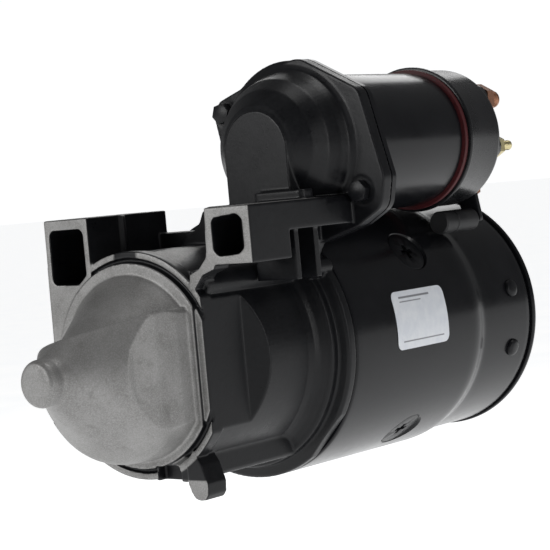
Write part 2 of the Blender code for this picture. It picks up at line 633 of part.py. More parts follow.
for name, pin_side, way, low in (
    ("upper_right", 0.0, 1, 196.0), ("lower_right", 0.0, -1, 180.4), ("lower_left", 180.0, 1, 196.0), ("upper_left", 180.0, -1, 180.4),
):
    pin_turn = ring_turn(BRUSH_PIN_ANGLE + pin_side)
    at = Vector(pin_turn @ Vector((PIN_R, 0.0, 0.0)))
    high = low + 6.0
    hub = rod((PIN_R, low, 0.0), (PIN_R, high, 0.0), 4.2, 16)
    # the arm swings from the pin to the back of its brush, 48 degrees round
    near = ring_turn(48.0 * way) @ Vector((33.4, 0.0, -5.4 * way))
    far = ring_turn(48.0 * way) @ Vector((36.2, 0.0, -1.5 * way))
    span = slab([(PIN_R - 1.6, 0.0), (PIN_R + 1.8, 0.6 * way), (far.x, far.z), (near.x, near.z)], low + 0.6, high - 0.6)
    plate_ = move(box((33.2, 35.4), (182.0, 196.0), (-5.6, 5.6)), ring_turn(48.0 * way))
    if low > 190:
        plate_ = move(box((33.2, 35.4), (182.0, high - 0.6), (-5.6, 5.6)), ring_turn(48.0 * way))
    arm = add(hub, span, plate_)
    arm = cut(arm, rod((PIN_R, 170.0, 0.0), (PIN_R, 215.0, 0.0), 2.2, 14))
    piece(move(arm, pin_turn), "brush_arm_" + name, "zinc", (at.x, 0.0, at.z))
    brush = box((COMM_R + 0.45, 32.9), (182.4, 195.4), (-5.0, 5.0))
    brush = move(brush, ring_turn(48.0 * way))
    piece(move(brush, pin_turn), "brush_" + name, "carbon", (at.x, 0.0, at.z))

# ---------------------------------------------------------------- rear end
def end_frame():
    plate = turned([
        (8.3, 211.0), (12.0, 211.0), (12.0, 216.8), (56.2, 216.8), (56.6, 217.4), (56.6, 218.9), (55.6, 219.8), (30.0, 220.6), (16.0, 221.4), (14.4, 223.4),
        (13.4, 228.6), (12.4, 229.4), (8.3, 229.4),
    ], SEG_BIG)
    for extra in (0.0, 180.0):
        x, z = polar(THROUGH_BOLT_PCR, THROUGH_BOLT_ANGLE + extra)
        plate = cut(plate, rod((x, 214.0, z), (x, 224.0, z), 3.2, 14))
    return plate


piece(end_frame(), "end_frame", "frame_paint")
piece(turned([(5.6, 211.4), (8.0, 211.4), (8.0, 228.6), (5.6, 228.6)], SEG_SMALL), "end_bushing", "bronze")
for name, extra in (("through_bolt_upper", 0.0), ("through_bolt_lower", 180.0)):
    x, z = polar(THROUGH_BOLT_PCR, THROUGH_BOLT_ANGLE + extra)
    bolt = add(rod((x, 65.4, z), (x, 222.0, z), 2.75, 14), slab(hexagon(x, z, 9.6), 220.5, 226.0))
    piece(bolt, name, "zinc")

# ---------------------------------------------------------------- solenoid
SOL = (SOL_X, SOL_Z)


def solenoid_case():
    shell = turned([(13.6, 74.0), (SOL_CASE_R, 74.0), (SOL_CASE_R, SOL_CASE_END_Y), (27.8, SOL_CASE_END_Y), (27.8, 78.0), (13.6, 78.0)], SEG_BIG, SOL)
    outline = [(x if x > 20 else x + 0.6, z) for x, z in rounded(SOL_FLANGE)]
    plate = slab(outline, SOL_FLANGE_Y + 0.35, 75.0)
    plate = cut(plate, rod((SOL_X, 60.0, SOL_Z), (SOL_X, 90.0, SOL_Z), 13.6, SEG_BIG))
    # the plate stops short of the frame below it
    plate = cut(plate, rod((0.0, 60.0, 0.0), (0.0, 90.0, 0.0), 59.2, SEG_BIG))
    shell = add(shell, plate)
    for x, z in solenoid_screw_spots():
        shell = cut(shell, rod((x, 60.0, z), (x, 80.0, z), 3.1, 14))
    return shell


piece(solenoid_case(), "solenoid_case", "frame_paint")
piece(turned([(13.4, 78.4), (27.4, 78.4), (27.4, 148.0), (3.4, 148.0), (3.4, 132.0), (13.4, 132.0)], SEG_MID, SOL), "solenoid_coil", "copper_wire", (SOL_X, 0, SOL_Z))
piece(turned([(0.0, 47.6), (6.6, 47.6), (6.6, 49.8), (4.0, 49.8), (4.0, 57.2), (12.4, 57.2), (12.9, 57.8), (12.9, 117.6), (12.2, 118.2), (0.0, 118.2)], 20, SOL),
      "solenoid_plunger", "steel", (SOL_X, 0, SOL_Z))
piece(coil((SOL_X, 118.6, SOL_Z), 131.6, 8.0, 0.8, 4.0, 10), "plunger_return_spring", "steel", (SOL_X, 0, SOL_Z))
piece(turned([(25.8, 152.3), (31.6, 152.3), (31.8, 152.6), (31.8, 154.1), (31.6, 154.4), (25.8, 154.4)], SEG_BIG, SOL), "cap_gasket", "red_fibre")


BATTERY_AT, START_AT, MOTOR_AT = (54.4, 99.6), (61.4, 77.6), (40.8, 60.4)


def solenoid_cap():
    cap = turned([
        (28.6, 154.7), (32.6, 154.7), (33.0, 155.1), (33.0, 156.7), (32.5, 157.2), (31.5, 157.6), (31.5, 180.2), (30.8, 181.8), (29.4, 182.5),
        (0.0, 182.5), (0.0, 178.5), (28.6, 178.5),
    ], SEG_BIG, SOL)
    for (x, z), r, length in ((BATTERY_AT, 7.0, 2.4), (START_AT, 5.6, 1.6), (MOTOR_AT, 6.4, 2.4)):
        cap = add(cap, rod((x, 180.0, z), (x, 182.5 + length, z), r, 14))
    for (x, z), r in ((BATTERY_AT, 4.35), (START_AT, 2.6), (MOTOR_AT, 4.35)):
        cap = cut(cap, rod((x, 170.0, z), (x, 190.0, z), r, 12))
    return cap


piece(solenoid_cap(), "solenoid_cap", "black_plastic")
piece(turned([(0.0, 127.0), (2.6, 127.0), (2.6, 158.4), (21.0, 158.4), (21.0, 160.6), (0.0, 160.6)], 24, SOL), "contact_plunger", "copper", (SOL_X, 0, SOL_Z))


def terminal(at, r, head, head_r, end, nut_at, nut):
    x, z = at
    stud = add(rod((x, head, z), (x, head + 3.4, z), head_r, 12), rod((x, head + 2.0, z), (x, end, z), r, 12))
    return add(stud, slab(hexagon(x, z, nut, 30.0), nut_at, nut_at + 3.6 if r < 3 else nut_at + 5.0))


piece(terminal(BATTERY_AT, 4.0, 163.4, 4.9, 200.5, 186.2, 12.6), "battery_terminal", "copper")
piece(terminal(START_AT, 2.3, 174.2, 3.2, 199.6, 184.8, 9.4), "start_terminal", "zinc")
piece(terminal(MOTOR_AT, 4.0, 163.4, 4.9, 197.5, 189.6, 12.0), "motor_terminal", "copper")


def motor_strap():
    """Flat copper strap from the motor stud down to the lead that enters the boot."""
    x, z = MOTOR_AT
    plate_ = slab(rounded([(x - 6.5, z + 6.5, 5), (x + 6.5, z + 6.5, 5), (x + 10.5, 43.4, 2.4), (x + 3.0, 42.0, 2.4)]), 186.0, 188.4)
    plate_ = cut(plate_, rod((x, 180.0, z), (x, 192.0, z), 4.35, 16))
    return plate_


piece(motor_strap(), "motor_strap", "black_steel")


def lead_boot():
    return add(rod((46.6, 158.0, 44.8), (46.6, 184.4, 44.8), 5.2, 18), rod((46.6, 184.0, 44.8), (46.6, 185.7, 44.8), 4.0, 16))


piece(lead_boot(), "field_lead_boot", "rubber")

for name, (x, z) in zip(("solenoid_screw_upper", "solenoid_screw_lower"), solenoid_screw_spots()):
    screw = add(rod((x, 66.0, z), (x, 76.6, z), 2.75, 14), slab(hexagon(x, z, 8.0, 12.0), 62.6, 66.1))
    piece(screw, name, "black_steel")

# the work collection holds nothing once the pieces are made
for left in list(work_col.objects):
    bpy.data.objects.remove(left, do_unlink=True)
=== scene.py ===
"""The look of the starter motor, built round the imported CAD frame.

The outside pieces are modelled again with finer turning, rounded casting edges
and real surface detail, in the same working frame as the CAD part: millimetres,
shaft along Y, nose towards -Y.  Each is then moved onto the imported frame.
"""

import json
import math

import bmesh
import bpy
from mathutils import Matrix, Vector

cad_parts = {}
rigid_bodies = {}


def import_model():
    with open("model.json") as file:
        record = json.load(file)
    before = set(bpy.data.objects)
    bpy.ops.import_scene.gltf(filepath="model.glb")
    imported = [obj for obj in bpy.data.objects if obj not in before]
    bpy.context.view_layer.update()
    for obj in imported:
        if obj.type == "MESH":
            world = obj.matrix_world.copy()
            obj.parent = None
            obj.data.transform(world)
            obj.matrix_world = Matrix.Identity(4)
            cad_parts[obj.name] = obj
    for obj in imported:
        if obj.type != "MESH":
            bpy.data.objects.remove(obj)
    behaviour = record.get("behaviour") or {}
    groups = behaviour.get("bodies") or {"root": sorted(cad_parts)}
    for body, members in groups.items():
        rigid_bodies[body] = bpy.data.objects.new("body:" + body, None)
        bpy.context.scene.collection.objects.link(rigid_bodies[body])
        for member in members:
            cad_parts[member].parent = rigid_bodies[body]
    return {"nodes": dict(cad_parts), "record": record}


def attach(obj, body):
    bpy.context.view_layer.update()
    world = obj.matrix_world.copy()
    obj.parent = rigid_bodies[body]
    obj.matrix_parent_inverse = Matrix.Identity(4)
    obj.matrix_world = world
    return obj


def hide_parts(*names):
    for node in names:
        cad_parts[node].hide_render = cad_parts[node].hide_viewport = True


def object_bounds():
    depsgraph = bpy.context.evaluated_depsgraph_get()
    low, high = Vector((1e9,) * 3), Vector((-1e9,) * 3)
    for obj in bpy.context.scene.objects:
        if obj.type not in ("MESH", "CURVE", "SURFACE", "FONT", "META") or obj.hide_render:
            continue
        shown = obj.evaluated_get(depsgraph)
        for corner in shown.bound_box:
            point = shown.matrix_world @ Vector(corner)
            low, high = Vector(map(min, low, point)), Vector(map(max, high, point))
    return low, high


for old in list(bpy.data.objects):
    bpy.data.objects.remove(old, do_unlink=True)

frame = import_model()
cad_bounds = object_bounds()

MM = 0.001
scene_col = bpy.context.scene.collection
work_col = bpy.data.collections.new("work")
scene_col.children.link(work_col)


# ---------------------------------------------------------------- dimensions
PAD_POINT = (56.0, 12.0, 61.9)   # centre of the mounting pad that becomes the origin
SEG_BIG = 144                    # facets round the frame and the housing
SEG_MID = 96
SEG_SMALL = 40

# drive-end housing
SNOUT_R, SNOUT_Y = 9.6, -56.4
RIM_R = 42.2                     # raised rim round the foot of the nose
RING_R = 46.9                    # machined flange ring
BARREL_R = 46.2
FLAT_X = 38.2                    # flat on the right of the flange
REAR_FLANGE_R, JOINT_Y = 58.0, 73.1
EAR_TOP_Z = 61.9
LEFT_EAR_X = (-45.7, -20.4)
LEFT_EAR_LENGTH = 48.8
RIGHT_EAR_X = (44.5, 67.2)
RIGHT_EAR_LENGTH = 24.2

# field frame
FRAME_R, FRAME_R_REAR, FRAME_BORE_R = 58.0, 55.6, 51.5
FRAME_END_Y = 216.6
POLE_ANGLE = 36.6
POLE_Y = 132.0
CORE_R = 36.8

# solenoid
SOL_X, SOL_Z = 37.3, 83.6
SOL_CASE_R, SOL_LIP_R, SOL_CAP_R = 30.2, 33.0, 31.5
SOL_FLANGE_Y = 72.0
SOL_CASE_END_Y = 152.0
SOL_CAP_END_Y = 182.5

# shift linkage
PIVOT_B = 50.0                   # shaft axis to lever pivot
PIVOT_Y = 59.0
LEVER_TILT = math.atan2(SOL_X, SOL_Z)
AXES_APART = math.hypot(SOL_X, SOL_Z)
PIVOT_A = AXES_APART - PIVOT_B   # lever pivot to plunger axis
LEVER_REST = math.radians(7.6)   # lever leans this far either side of square

# brushes
BRUSH_PIN_ANGLE = -3.6
COMM_R = 19.0

THROUGH_BOLT_ANGLE = 81.6
THROUGH_BOLT_PCR = 48.2

# ---------------------------------------------------------------- modelling helpers
def work(name, data):
    obj = bpy.data.objects.new(name, data)
    work_col.objects.link(obj)
    obj.display_type = "WIRE"
    return obj


def bake(obj):
    """Apply the modifiers and the transform, and weld points that coincide."""
    graph = bpy.context.evaluated_depsgraph_get()
    mesh = bpy.data.meshes.new_from_object(obj.evaluated_get(graph))
    mesh.transform(obj.matrix_world)
    if obj.matrix_world.determinant() < 0:
        mesh.flip_normals()
    bm = bmesh.new()
    bm.from_mesh(mesh)
    bmesh.ops.remove_doubles(bm, verts=bm.verts, dist=2e-6)
    bmesh.ops.recalc_face_normals(bm, faces=bm.faces)
    bm.to_mesh(mesh)
    bm.free()
    made = work(obj.name + ".b", mesh)
    bpy.data.objects.remove(obj, do_unlink=True)
    return made


def turned(profile, seg, centre=(0.0, 0.0), start=0.0, sweep=360.0):
    """A profile of (radius, y) points turned about a line parallel to Y."""
    area = 0.0
    for (r0, y0), (r1, y1) in zip(profile, profile[1:] + profile[:1]):
        area += r0 * y1 - r1 * y0
    points = list(profile) if area < 0 else list(profile)[::-1]
    hollow = min(r for r, _ in profile) > 1e-6
    if not hollow:
        # begin and end on the axis so that the turned skin closes there
        while not (points[0][0] < 1e-6 and points[-1][0] < 1e-6):
            points = points[1:] + points[:1]
    mesh = bpy.data.meshes.new("profile")
    edges = [(i, i + 1) for i in range(len(points) - 1)]
    if hollow:
        edges.append((len(points) - 1, 0))
    mesh.from_pydata([(r * MM, 0.0, y * MM) for r, y in points], edges, [])
    obj = work("turned", mesh)
    screw = obj.modifiers.new("Screw", "SCREW")
    screw.axis = "Z"
    screw.angle = math.radians(sweep)
    screw.steps = seg
    screw.render_steps = seg
    screw.use_merge_vertices = True
    screw.merge_threshold = 1e-5
    screw.use_smooth_shade = False
    obj.matrix_world = (
        Matrix.Translation((centre[0] * MM, 0.0, centre[1] * MM))
        @ Matrix.Rotation(math.radians(-start), 4, "Y")
        @ Matrix.Rotation(math.radians(-90.0), 4, "X")
    )
    return bake(obj)


def rounded(corners, arc=3):
    """Polygon corners (x, y, radius) turned into points with arcs at the corners."""
    out = []
    n = len(corners)
    for i in range(n):
        p = Vector(corners[i][:2])
        r = corners[i][2] if len(corners[i]) > 2 else 0.0
        if r <= 0:
            out.append((p.x, p.y))
            continue
        a = (Vector(corners[i - 1][:2]) - p).normalized()
        b = (Vector(corners[(i + 1) % n][:2]) - p).normalized()
        half = math.acos(max(-1.0, min(1.0, a.dot(b)))) / 2
        away = r / math.tan(half)
        centre = p + (a + b).normalized() * (r / math.sin(half))
        start, end = p + a * away - centre, p + b * away - centre
        turn = math.atan2(start.x * end.y - start.y * end.x, start.dot(end))
        for k in range(arc + 1):
            t = turn * k / arc
            c, s = math.cos(t), math.sin(t)
            q = centre + Vector((start.x * c - start.y * s, start.x * s + start.y * c))
            out.append((q.x, q.y))
    return out


PLANES = {
    "xz": Matrix.Rotation(math.radians(90.0), 4, "X"),
    "xy": Matrix.Identity(4),
    "yz": Matrix(((0, 0, 1, 0), (1, 0, 0, 0), (0, 1, 0, 0), (0, 0, 0, 1))),
}


def slab(outline, low, high, plane="xz", holes=()):
    """A flat outline given thickness from low to high along the third axis."""
    data = bpy.data.curves.new("outline", "CURVE")
    data.dimensions = "2D"
    data.fill_mode = "BOTH"
    data.extrude = (high - low) / 2 * MM
    for loop in (outline, *holes):
        spline = data.splines.new("POLY")
        spline.points.add(len(loop) - 1)
        for point, (x, y) in zip(spline.points, loop):
            point.co = (x * MM, y * MM, 0.0, 1.0)
        spline.use_cyclic_u = True
    obj = work("slab", data)
    middle = (low + high) / 2 * MM
    shift = {"xz": (0, middle, 0), "xy": (0, 0, middle), "yz": (middle, 0, 0)}[plane]
    obj.matrix_world = Matrix.Translation(shift) @ PLANES[plane]
    bpy.context.view_layer.update()
    return bake(obj)


def box(x, y, z, bevel=0.0, segments=2):
    bm = bmesh.new()
    bmesh.ops.create_cube(bm, size=1.0)
    mesh = bpy.data.meshes.new("box")
    for v in bm.verts:
        v.co = Vector((
            (x[0] + x[1]) / 2 + v.co.x * (x[1] - x[0]),
            (y[0] + y[1]) / 2 + v.co.y * (y[1] - y[0]),
            (z[0] + z[1]) / 2 + v.co.z * (z[1] - z[0]),
        )) * MM
    bm.to_mesh(mesh)
    bm.free()
    obj = work("box", mesh)
    if bevel:
        mod = obj.modifiers.new("Bevel", "BEVEL")
        mod.width = bevel * MM
        mod.segments = segments
    return bake(obj)


def rod(start, end, radius, seg=SEG_SMALL, radius2=None):
    """A round bar, or a cone, between two points."""
    a, b = Vector(start) * MM, Vector(end) * MM
    bm = bmesh.new()
    bmesh.ops.create_cone(
        bm, cap_ends=True, segments=seg, radius1=radius * MM,
        radius2=(radius if radius2 is None else radius2) * MM, depth=(b - a).length,
    )
    mesh = bpy.data.meshes.new("rod")
    bm.to_mesh(mesh)
    bm.free()
    obj = work("rod", mesh)
    obj.matrix_world = Matrix.Translation((a + b) / 2) @ (b - a).to_track_quat("Z", "Y").to_matrix().to_4x4()
    return bake(obj)


def coil(start, end, radius, wire, turns, per_turn=10, wire_facets=1):
    """A helical spring along Y, made from a bevelled curve."""
    (x0, y0, z0), y1 = start, end
    data = bpy.data.curves.new("coil", "CURVE")
    data.dimensions = "3D"
    data.bevel_depth = wire * MM
    data.bevel_resolution = wire_facets - 1
    data.use_fill_caps = True
    count = int(turns * per_turn) + 1
    spline = data.splines.new("POLY")
    spline.points.add(count - 1)
    for i, point in enumerate(spline.points):
        t = i / (count - 1)
        a = 2 * math.pi * turns * t
        y = y0 + wire + (y1 - y0 - 2 * wire) * t
        point.co = ((x0 + radius * math.cos(a)) * MM, y * MM, (z0 + radius * math.sin(a)) * MM, 1.0)
    obj = work("coil", data)
    return bake(obj)


def combine(first, others, operation):
    for other in others:
        mod = first.modifiers.new("Boolean", "BOOLEAN")
        mod.operation = operation
        mod.solver = "EXACT"
        mod.object = other
        first = bake(first)
        bpy.data.objects.remove(other, do_unlink=True)
    return first


def add(first, *others):
    return combine(first, others, "UNION")


def cut(first, *others):
    return combine(first, others, "DIFFERENCE")


def keep(first, *others):
    return combine(first, others, "INTERSECT")


def move(obj, matrix):
    obj.data.transform(matrix)
    return obj


def about(point, angle, axis):
    """A turn by an angle in degrees about an axis through a point."""
    p = Vector(point) * MM
    return Matrix.Translation(p) @ Matrix.Rotation(math.radians(angle), 4, axis) @ Matrix.Translation(-p)


def ring_turn(degrees):
    """Turn anticlockwise about the shaft, seen from the front."""
    return Matrix.Rotation(math.radians(-degrees), 4, "Y")


def copy_of(obj):
    return work(obj.name, obj.data.copy())


def polar(radius, degrees):
    a = math.radians(degrees)
    return radius * math.cos(a), radius * math.sin(a)


def circle(x, z, r, n):
    return [(x + r * math.cos(2 * math.pi * i / n), z + r * math.sin(2 * math.pi * i / n)) for i in range(n)]


def hexagon(x, z, across, turn=0.0):
    r = across / math.sqrt(3)
    return [(x + r * math.cos(math.radians(60 * i + turn)), z + r * math.sin(math.radians(60 * i + turn))) for i in range(6)]


# lever plane: U runs from the shaft towards the solenoid axis, H across it
U = Vector((math.sin(LEVER_TILT), 0.0, math.cos(LEVER_TILT)))
H = Vector((math.cos(LEVER_TILT), 0.0, -math.sin(LEVER_TILT)))
PIVOT = U * PIVOT_B + Vector((0.0, PIVOT_Y, 0.0))


def in_lever(u, y, h):
    p = U * u + H * h
    return (p.x, y, p.z)


def lever_frame():
    """Local X across the lever, Y along the shaft, Z from the shaft to the solenoid."""
    return Matrix((
        (H.x, 0.0, U.x, 0.0), (0.0, 1.0, 0.0, 0.0), (H.z, 0.0, U.z, 0.0), (0.0, 0.0, 0.0, 1.0),
    ))


CAVITY_PROFILE = [
    (0.0, -50.0), (8.0, -50.0), (8.0, -33.6), (12.6, -33.4), (15.6, -28.6), (19.0, -21.0), (22.6, -13.0), (26.4, -7.0),
    (28.6, -3.6), (31.0, -1.0), (35.6, 5.0), (35.6, 46.0), (40.0, 52.0), (40.0, 80.0), (0.0, 80.0),
]
SOL_DOME_PROFILE = [
    (0.0, 43.0), (14.8, 43.0), (18.6, 44.9), (24.6, 50.0), (28.8, 55.8), (30.8, 61.6), (32.4, 65.2), (36.4, 66.8), (36.4, 69.0), (0.0, 69.0),
]
SOL_CAVITY_PROFILE = [
    (0.0, 46.6), (12.5, 46.6), (17.5, 49.5), (22.5, 54.5), (25.6, 60.0), (26.4, 80.0), (0.0, 80.0),
]
SOL_FLANGE = [
    (-3.2, 100.5, 3), (0.2, 106.4, 5), (44.5, 121.0, 12), (75.2, 104.6, 7), (84.6, 68.0, 8),
    (82.0, 55.5, 8), (70.0, 48.8, 6), (46.0, 42.0, 0), (10.0, 44.0, 0), (5.5, 62.0, 4), (0.5, 82.0, 4),
]
LEFT_EAR = [(-45.7, 61.9), (-20.4, 61.9), (-20.4, 38.0), (-30.0, 12.0), (-46.3, 2.0), (-46.5, 9.5)]
LEFT_POCKET = [(-43.0, 57.5, 3), (-23.4, 57.5, 3), (-23.2, 38.2, 1.5), (-28.0, 34.4, 1.5), (-43.2, 34.6, 3)]
RIGHT_EAR = [(44.5, 61.9), (67.2, 61.9), (67.2, 39.2), (44.0, 39.2), (43.6, 46.0)]
RIGHT_WEB = [
    (44.5, 61.0), (60.0, 61.0), (60.0, 39.3), (47.7, 39.3), (47.0, 37.6), (40.6, 35.4), (36.0, 30.0),
    (33.0, 30.0), (34.0, 36.0), (39.0, 38.1), (42.8, 42.0), (44.5, 48.0),
]
RIGHT_POCKET = [(47.6, 57.6, 2.5), (60.8, 58.8, 3), (63.4, 56.2, 2), (63.4, 45.2, 2.5), (60.4, 43.1, 2), (50.2, 42.7, 2.5), (47.7, 45.2, 2)]
PAD_BASE = [
    (-8.0, 40.0), (-7.4, 47.0), (-4.5, 50.6), (0.6, 52.6), (3.4, 55.6), (5.2, 59.4), (8.4, 61.9),
    (50.0, 61.9), (50.0, 44.0), (43.0, 33.0), (20.0, 30.0), (0.0, 38.0),
]
TAB = [(23.1, -40.0), (23.1, -47.6), (24.6, -51.4), (26.4, -53.8), (28.7, -54.5), (31.6, -54.2), (33.4, -52.0), (33.6, -47.4), (31.0, -40.0), (27.0, -34.0)]
KEEL = [(6.0, -47.2), (21.0, -47.4), (26.6, -46.6), (27.5, -45.4), (27.5, -36.0), (6.0, -40.0)]


def solenoid_screw_spots():
    return [(3.4, 101.0), (72.6, 63.0)]



# ---------------------------------------------------------------- materials
class Shade:
    """A small helper for building node materials in the piece's own millimetres."""

    def __init__(self, name, metal=0.0, rough=0.4, spec=0.5, coat=0.0, coat_rough=0.1):
        self.mat = bpy.data.materials.new(name)
        self.mat.use_nodes = True
        self.nt = self.mat.node_tree
        self.nt.nodes.clear()
        out = self.nt.nodes.new("ShaderNodeOutputMaterial")
        self.bsdf = self.nt.nodes.new("ShaderNodeBsdfPrincipled")
        self.nt.links.new(self.bsdf.outputs[0], out.inputs[0])
        self.bsdf.inputs["Metallic"].default_value = metal
        self.bsdf.inputs["Roughness"].default_value = rough
        self.bsdf.inputs["Specular IOR Level"].default_value = spec
        self.bsdf.inputs["Coat Weight"].default_value = coat
        self.bsdf.inputs["Coat Roughness"].default_value = coat_rough
        self.coords = self.nt.nodes.new("ShaderNodeTexCoord").outputs["Object"]
        self._xyz = None
        self._normal = None

    def put(self, name, value):
        self.nt.links.new(value, self.bsdf.inputs[name])

    def op(self, kind, a, b=None, c=None, clamp=False):
        n = self.nt.nodes.new("ShaderNodeMath")
        n.operation = kind
        n.use_clamp = clamp
        for i, v in enumerate((a, b, c)):
            if v is None:
                continue
            if isinstance(v, (int, float)):
                n.inputs[i].default_value = v
            else:
                self.nt.links.new(v, n.inputs[i])
        return n.outputs[0]

    def xyz(self):
        """X, Y and Z in the working frame's millimetres."""
        if self._xyz is None:
            n = self.nt.nodes.new("ShaderNodeSeparateXYZ")
            self.nt.links.new(self.coords, n.inputs[0])
            self._xyz = [self.op("MULTIPLY_ADD", n.outputs[i], 1000.0, PAD_POINT[i]) for i in range(3)]
        return self._xyz

    def normal(self):
        if self._normal is None:
            g = self.nt.nodes.new("ShaderNodeNewGeometry")
            n = self.nt.nodes.new("ShaderNodeSeparateXYZ")
            self.nt.links.new(g.outputs["Normal"], n.inputs[0])
            self._normal = n.outputs
        return self._normal

    def noise(self, size, detail=3.0, rough=0.5, stretch=None, distort=0.0):
        """Noise whose blobs are about size millimetres across."""
        n = self.nt.nodes.new("ShaderNodeTexNoise")
        n.inputs["Scale"].default_value = 1000.0 / size
        n.inputs["Detail"].default_value = detail
        n.inputs["Roughness"].default_value = rough
        n.inputs["Distortion"].default_value = distort
        where = self.coords
        if stretch:
            m = self.nt.nodes.new("ShaderNodeMapping")
            m.inputs["Scale"].default_value = stretch
            self.nt.links.new(where, m.inputs["Vector"])
            where = m.outputs[0]
        self.nt.links.new(where, n.inputs["Vector"])
        return n.outputs["Fac"]

    def cells(self, size, feature="F1"):
        n = self.nt.nodes.new("ShaderNodeTexVoronoi")
        n.feature = feature
        n.inputs["Scale"].default_value = 1000.0 / size
        self.nt.links.new(self.coords, n.inputs["Vector"])
        return n.outputs["Distance"]

    def ramp(self, fac, *stops):
        n = self.nt.nodes.new("ShaderNodeValToRGB")
        el = n.color_ramp.elements
        while len(el) < len(stops):
            el.new(0.5)
        for e, (at, colour) in zip(el, stops):
            e.position = at
            e.color = (*colour, 1.0) if len(colour) == 3 else colour
        self.nt.links.new(fac, n.inputs[0])
        return n.outputs[0]

    def span(self, value, low, high, to_low=0.0, to_high=1.0):
        n = self.nt.nodes.new("ShaderNodeMapRange")
        n.inputs["From Min"].default_value = low
        n.inputs["From Max"].default_value = high
        n.inputs["To Min"].default_value = to_low
        n.inputs["To Max"].default_value = to_high
        self.nt.links.new(value, n.inputs["Value"])
        return n.outputs[0]

    def mix(self, fac, a, b):
        n = self.nt.nodes.new("ShaderNodeMix")
        n.data_type = "RGBA"
        self.nt.links.new(fac, n.inputs[0])
        for socket, v in ((n.inputs[6], a), (n.inputs[7], b)):
            if isinstance(v, tuple):
                socket.default_value = (*v, 1.0)
            else:
                self.nt.links.new(v, socket)
        return n.outputs[2]

    def bump(self, height, distance, strength=1.0, before=None):
        n = self.nt.nodes.new("ShaderNodeBump")
        n.inputs["Strength"].default_value = strength
        n.inputs["Distance"].default_value = distance * MM
        self.nt.links.new(height, n.inputs["Height"])
        if before is not None:
            self.nt.links.new(before, n.inputs["Normal"])
        self.put("Normal", n.outputs[0])
        return n.outputs[0]

    def both(self, a, b):
        return self.op("MULTIPLY", a, b)

    def either(self, a, b):
        return self.op("MAXIMUM", a, b)

    def between(self, v, low, high, soft=0.3):
        return self.both(self.span(v, low - soft, low + soft), self.span(v, high + soft, high - soft))


def black_paint(name, grain=1.6, depth=0.035, rough=(0.24, 0.4), wear=True):
    s = Shade(name, spec=0.22)
    blotch = s.noise(26.0, 3.0, 0.6)
    fine = s.noise(grain, 3.0, 0.55)
    dust = s.noise(0.7, 2.0, 0.5)
    s.put("Base Color", s.mix(s.span(s.op("ADD", s.op("MULTIPLY", blotch, 0.6), s.op("MULTIPLY", dust, 0.4)), 0.36, 0.66), (0.0034, 0.0036, 0.0045), (0.0082, 0.0085, 0.0100)))
    r = s.op("ADD", s.op("MULTIPLY", blotch, 0.6), s.op("MULTIPLY", fine, 0.4))
    s.put("Roughness", s.span(r, 0.3, 0.7, rough[0], rough[1]))
    s.bump(s.noise(grain * 4.0, 2.0, 0.5), depth * 1.2, 0.5, s.bump(fine, depth, 0.5))
    return s.mat


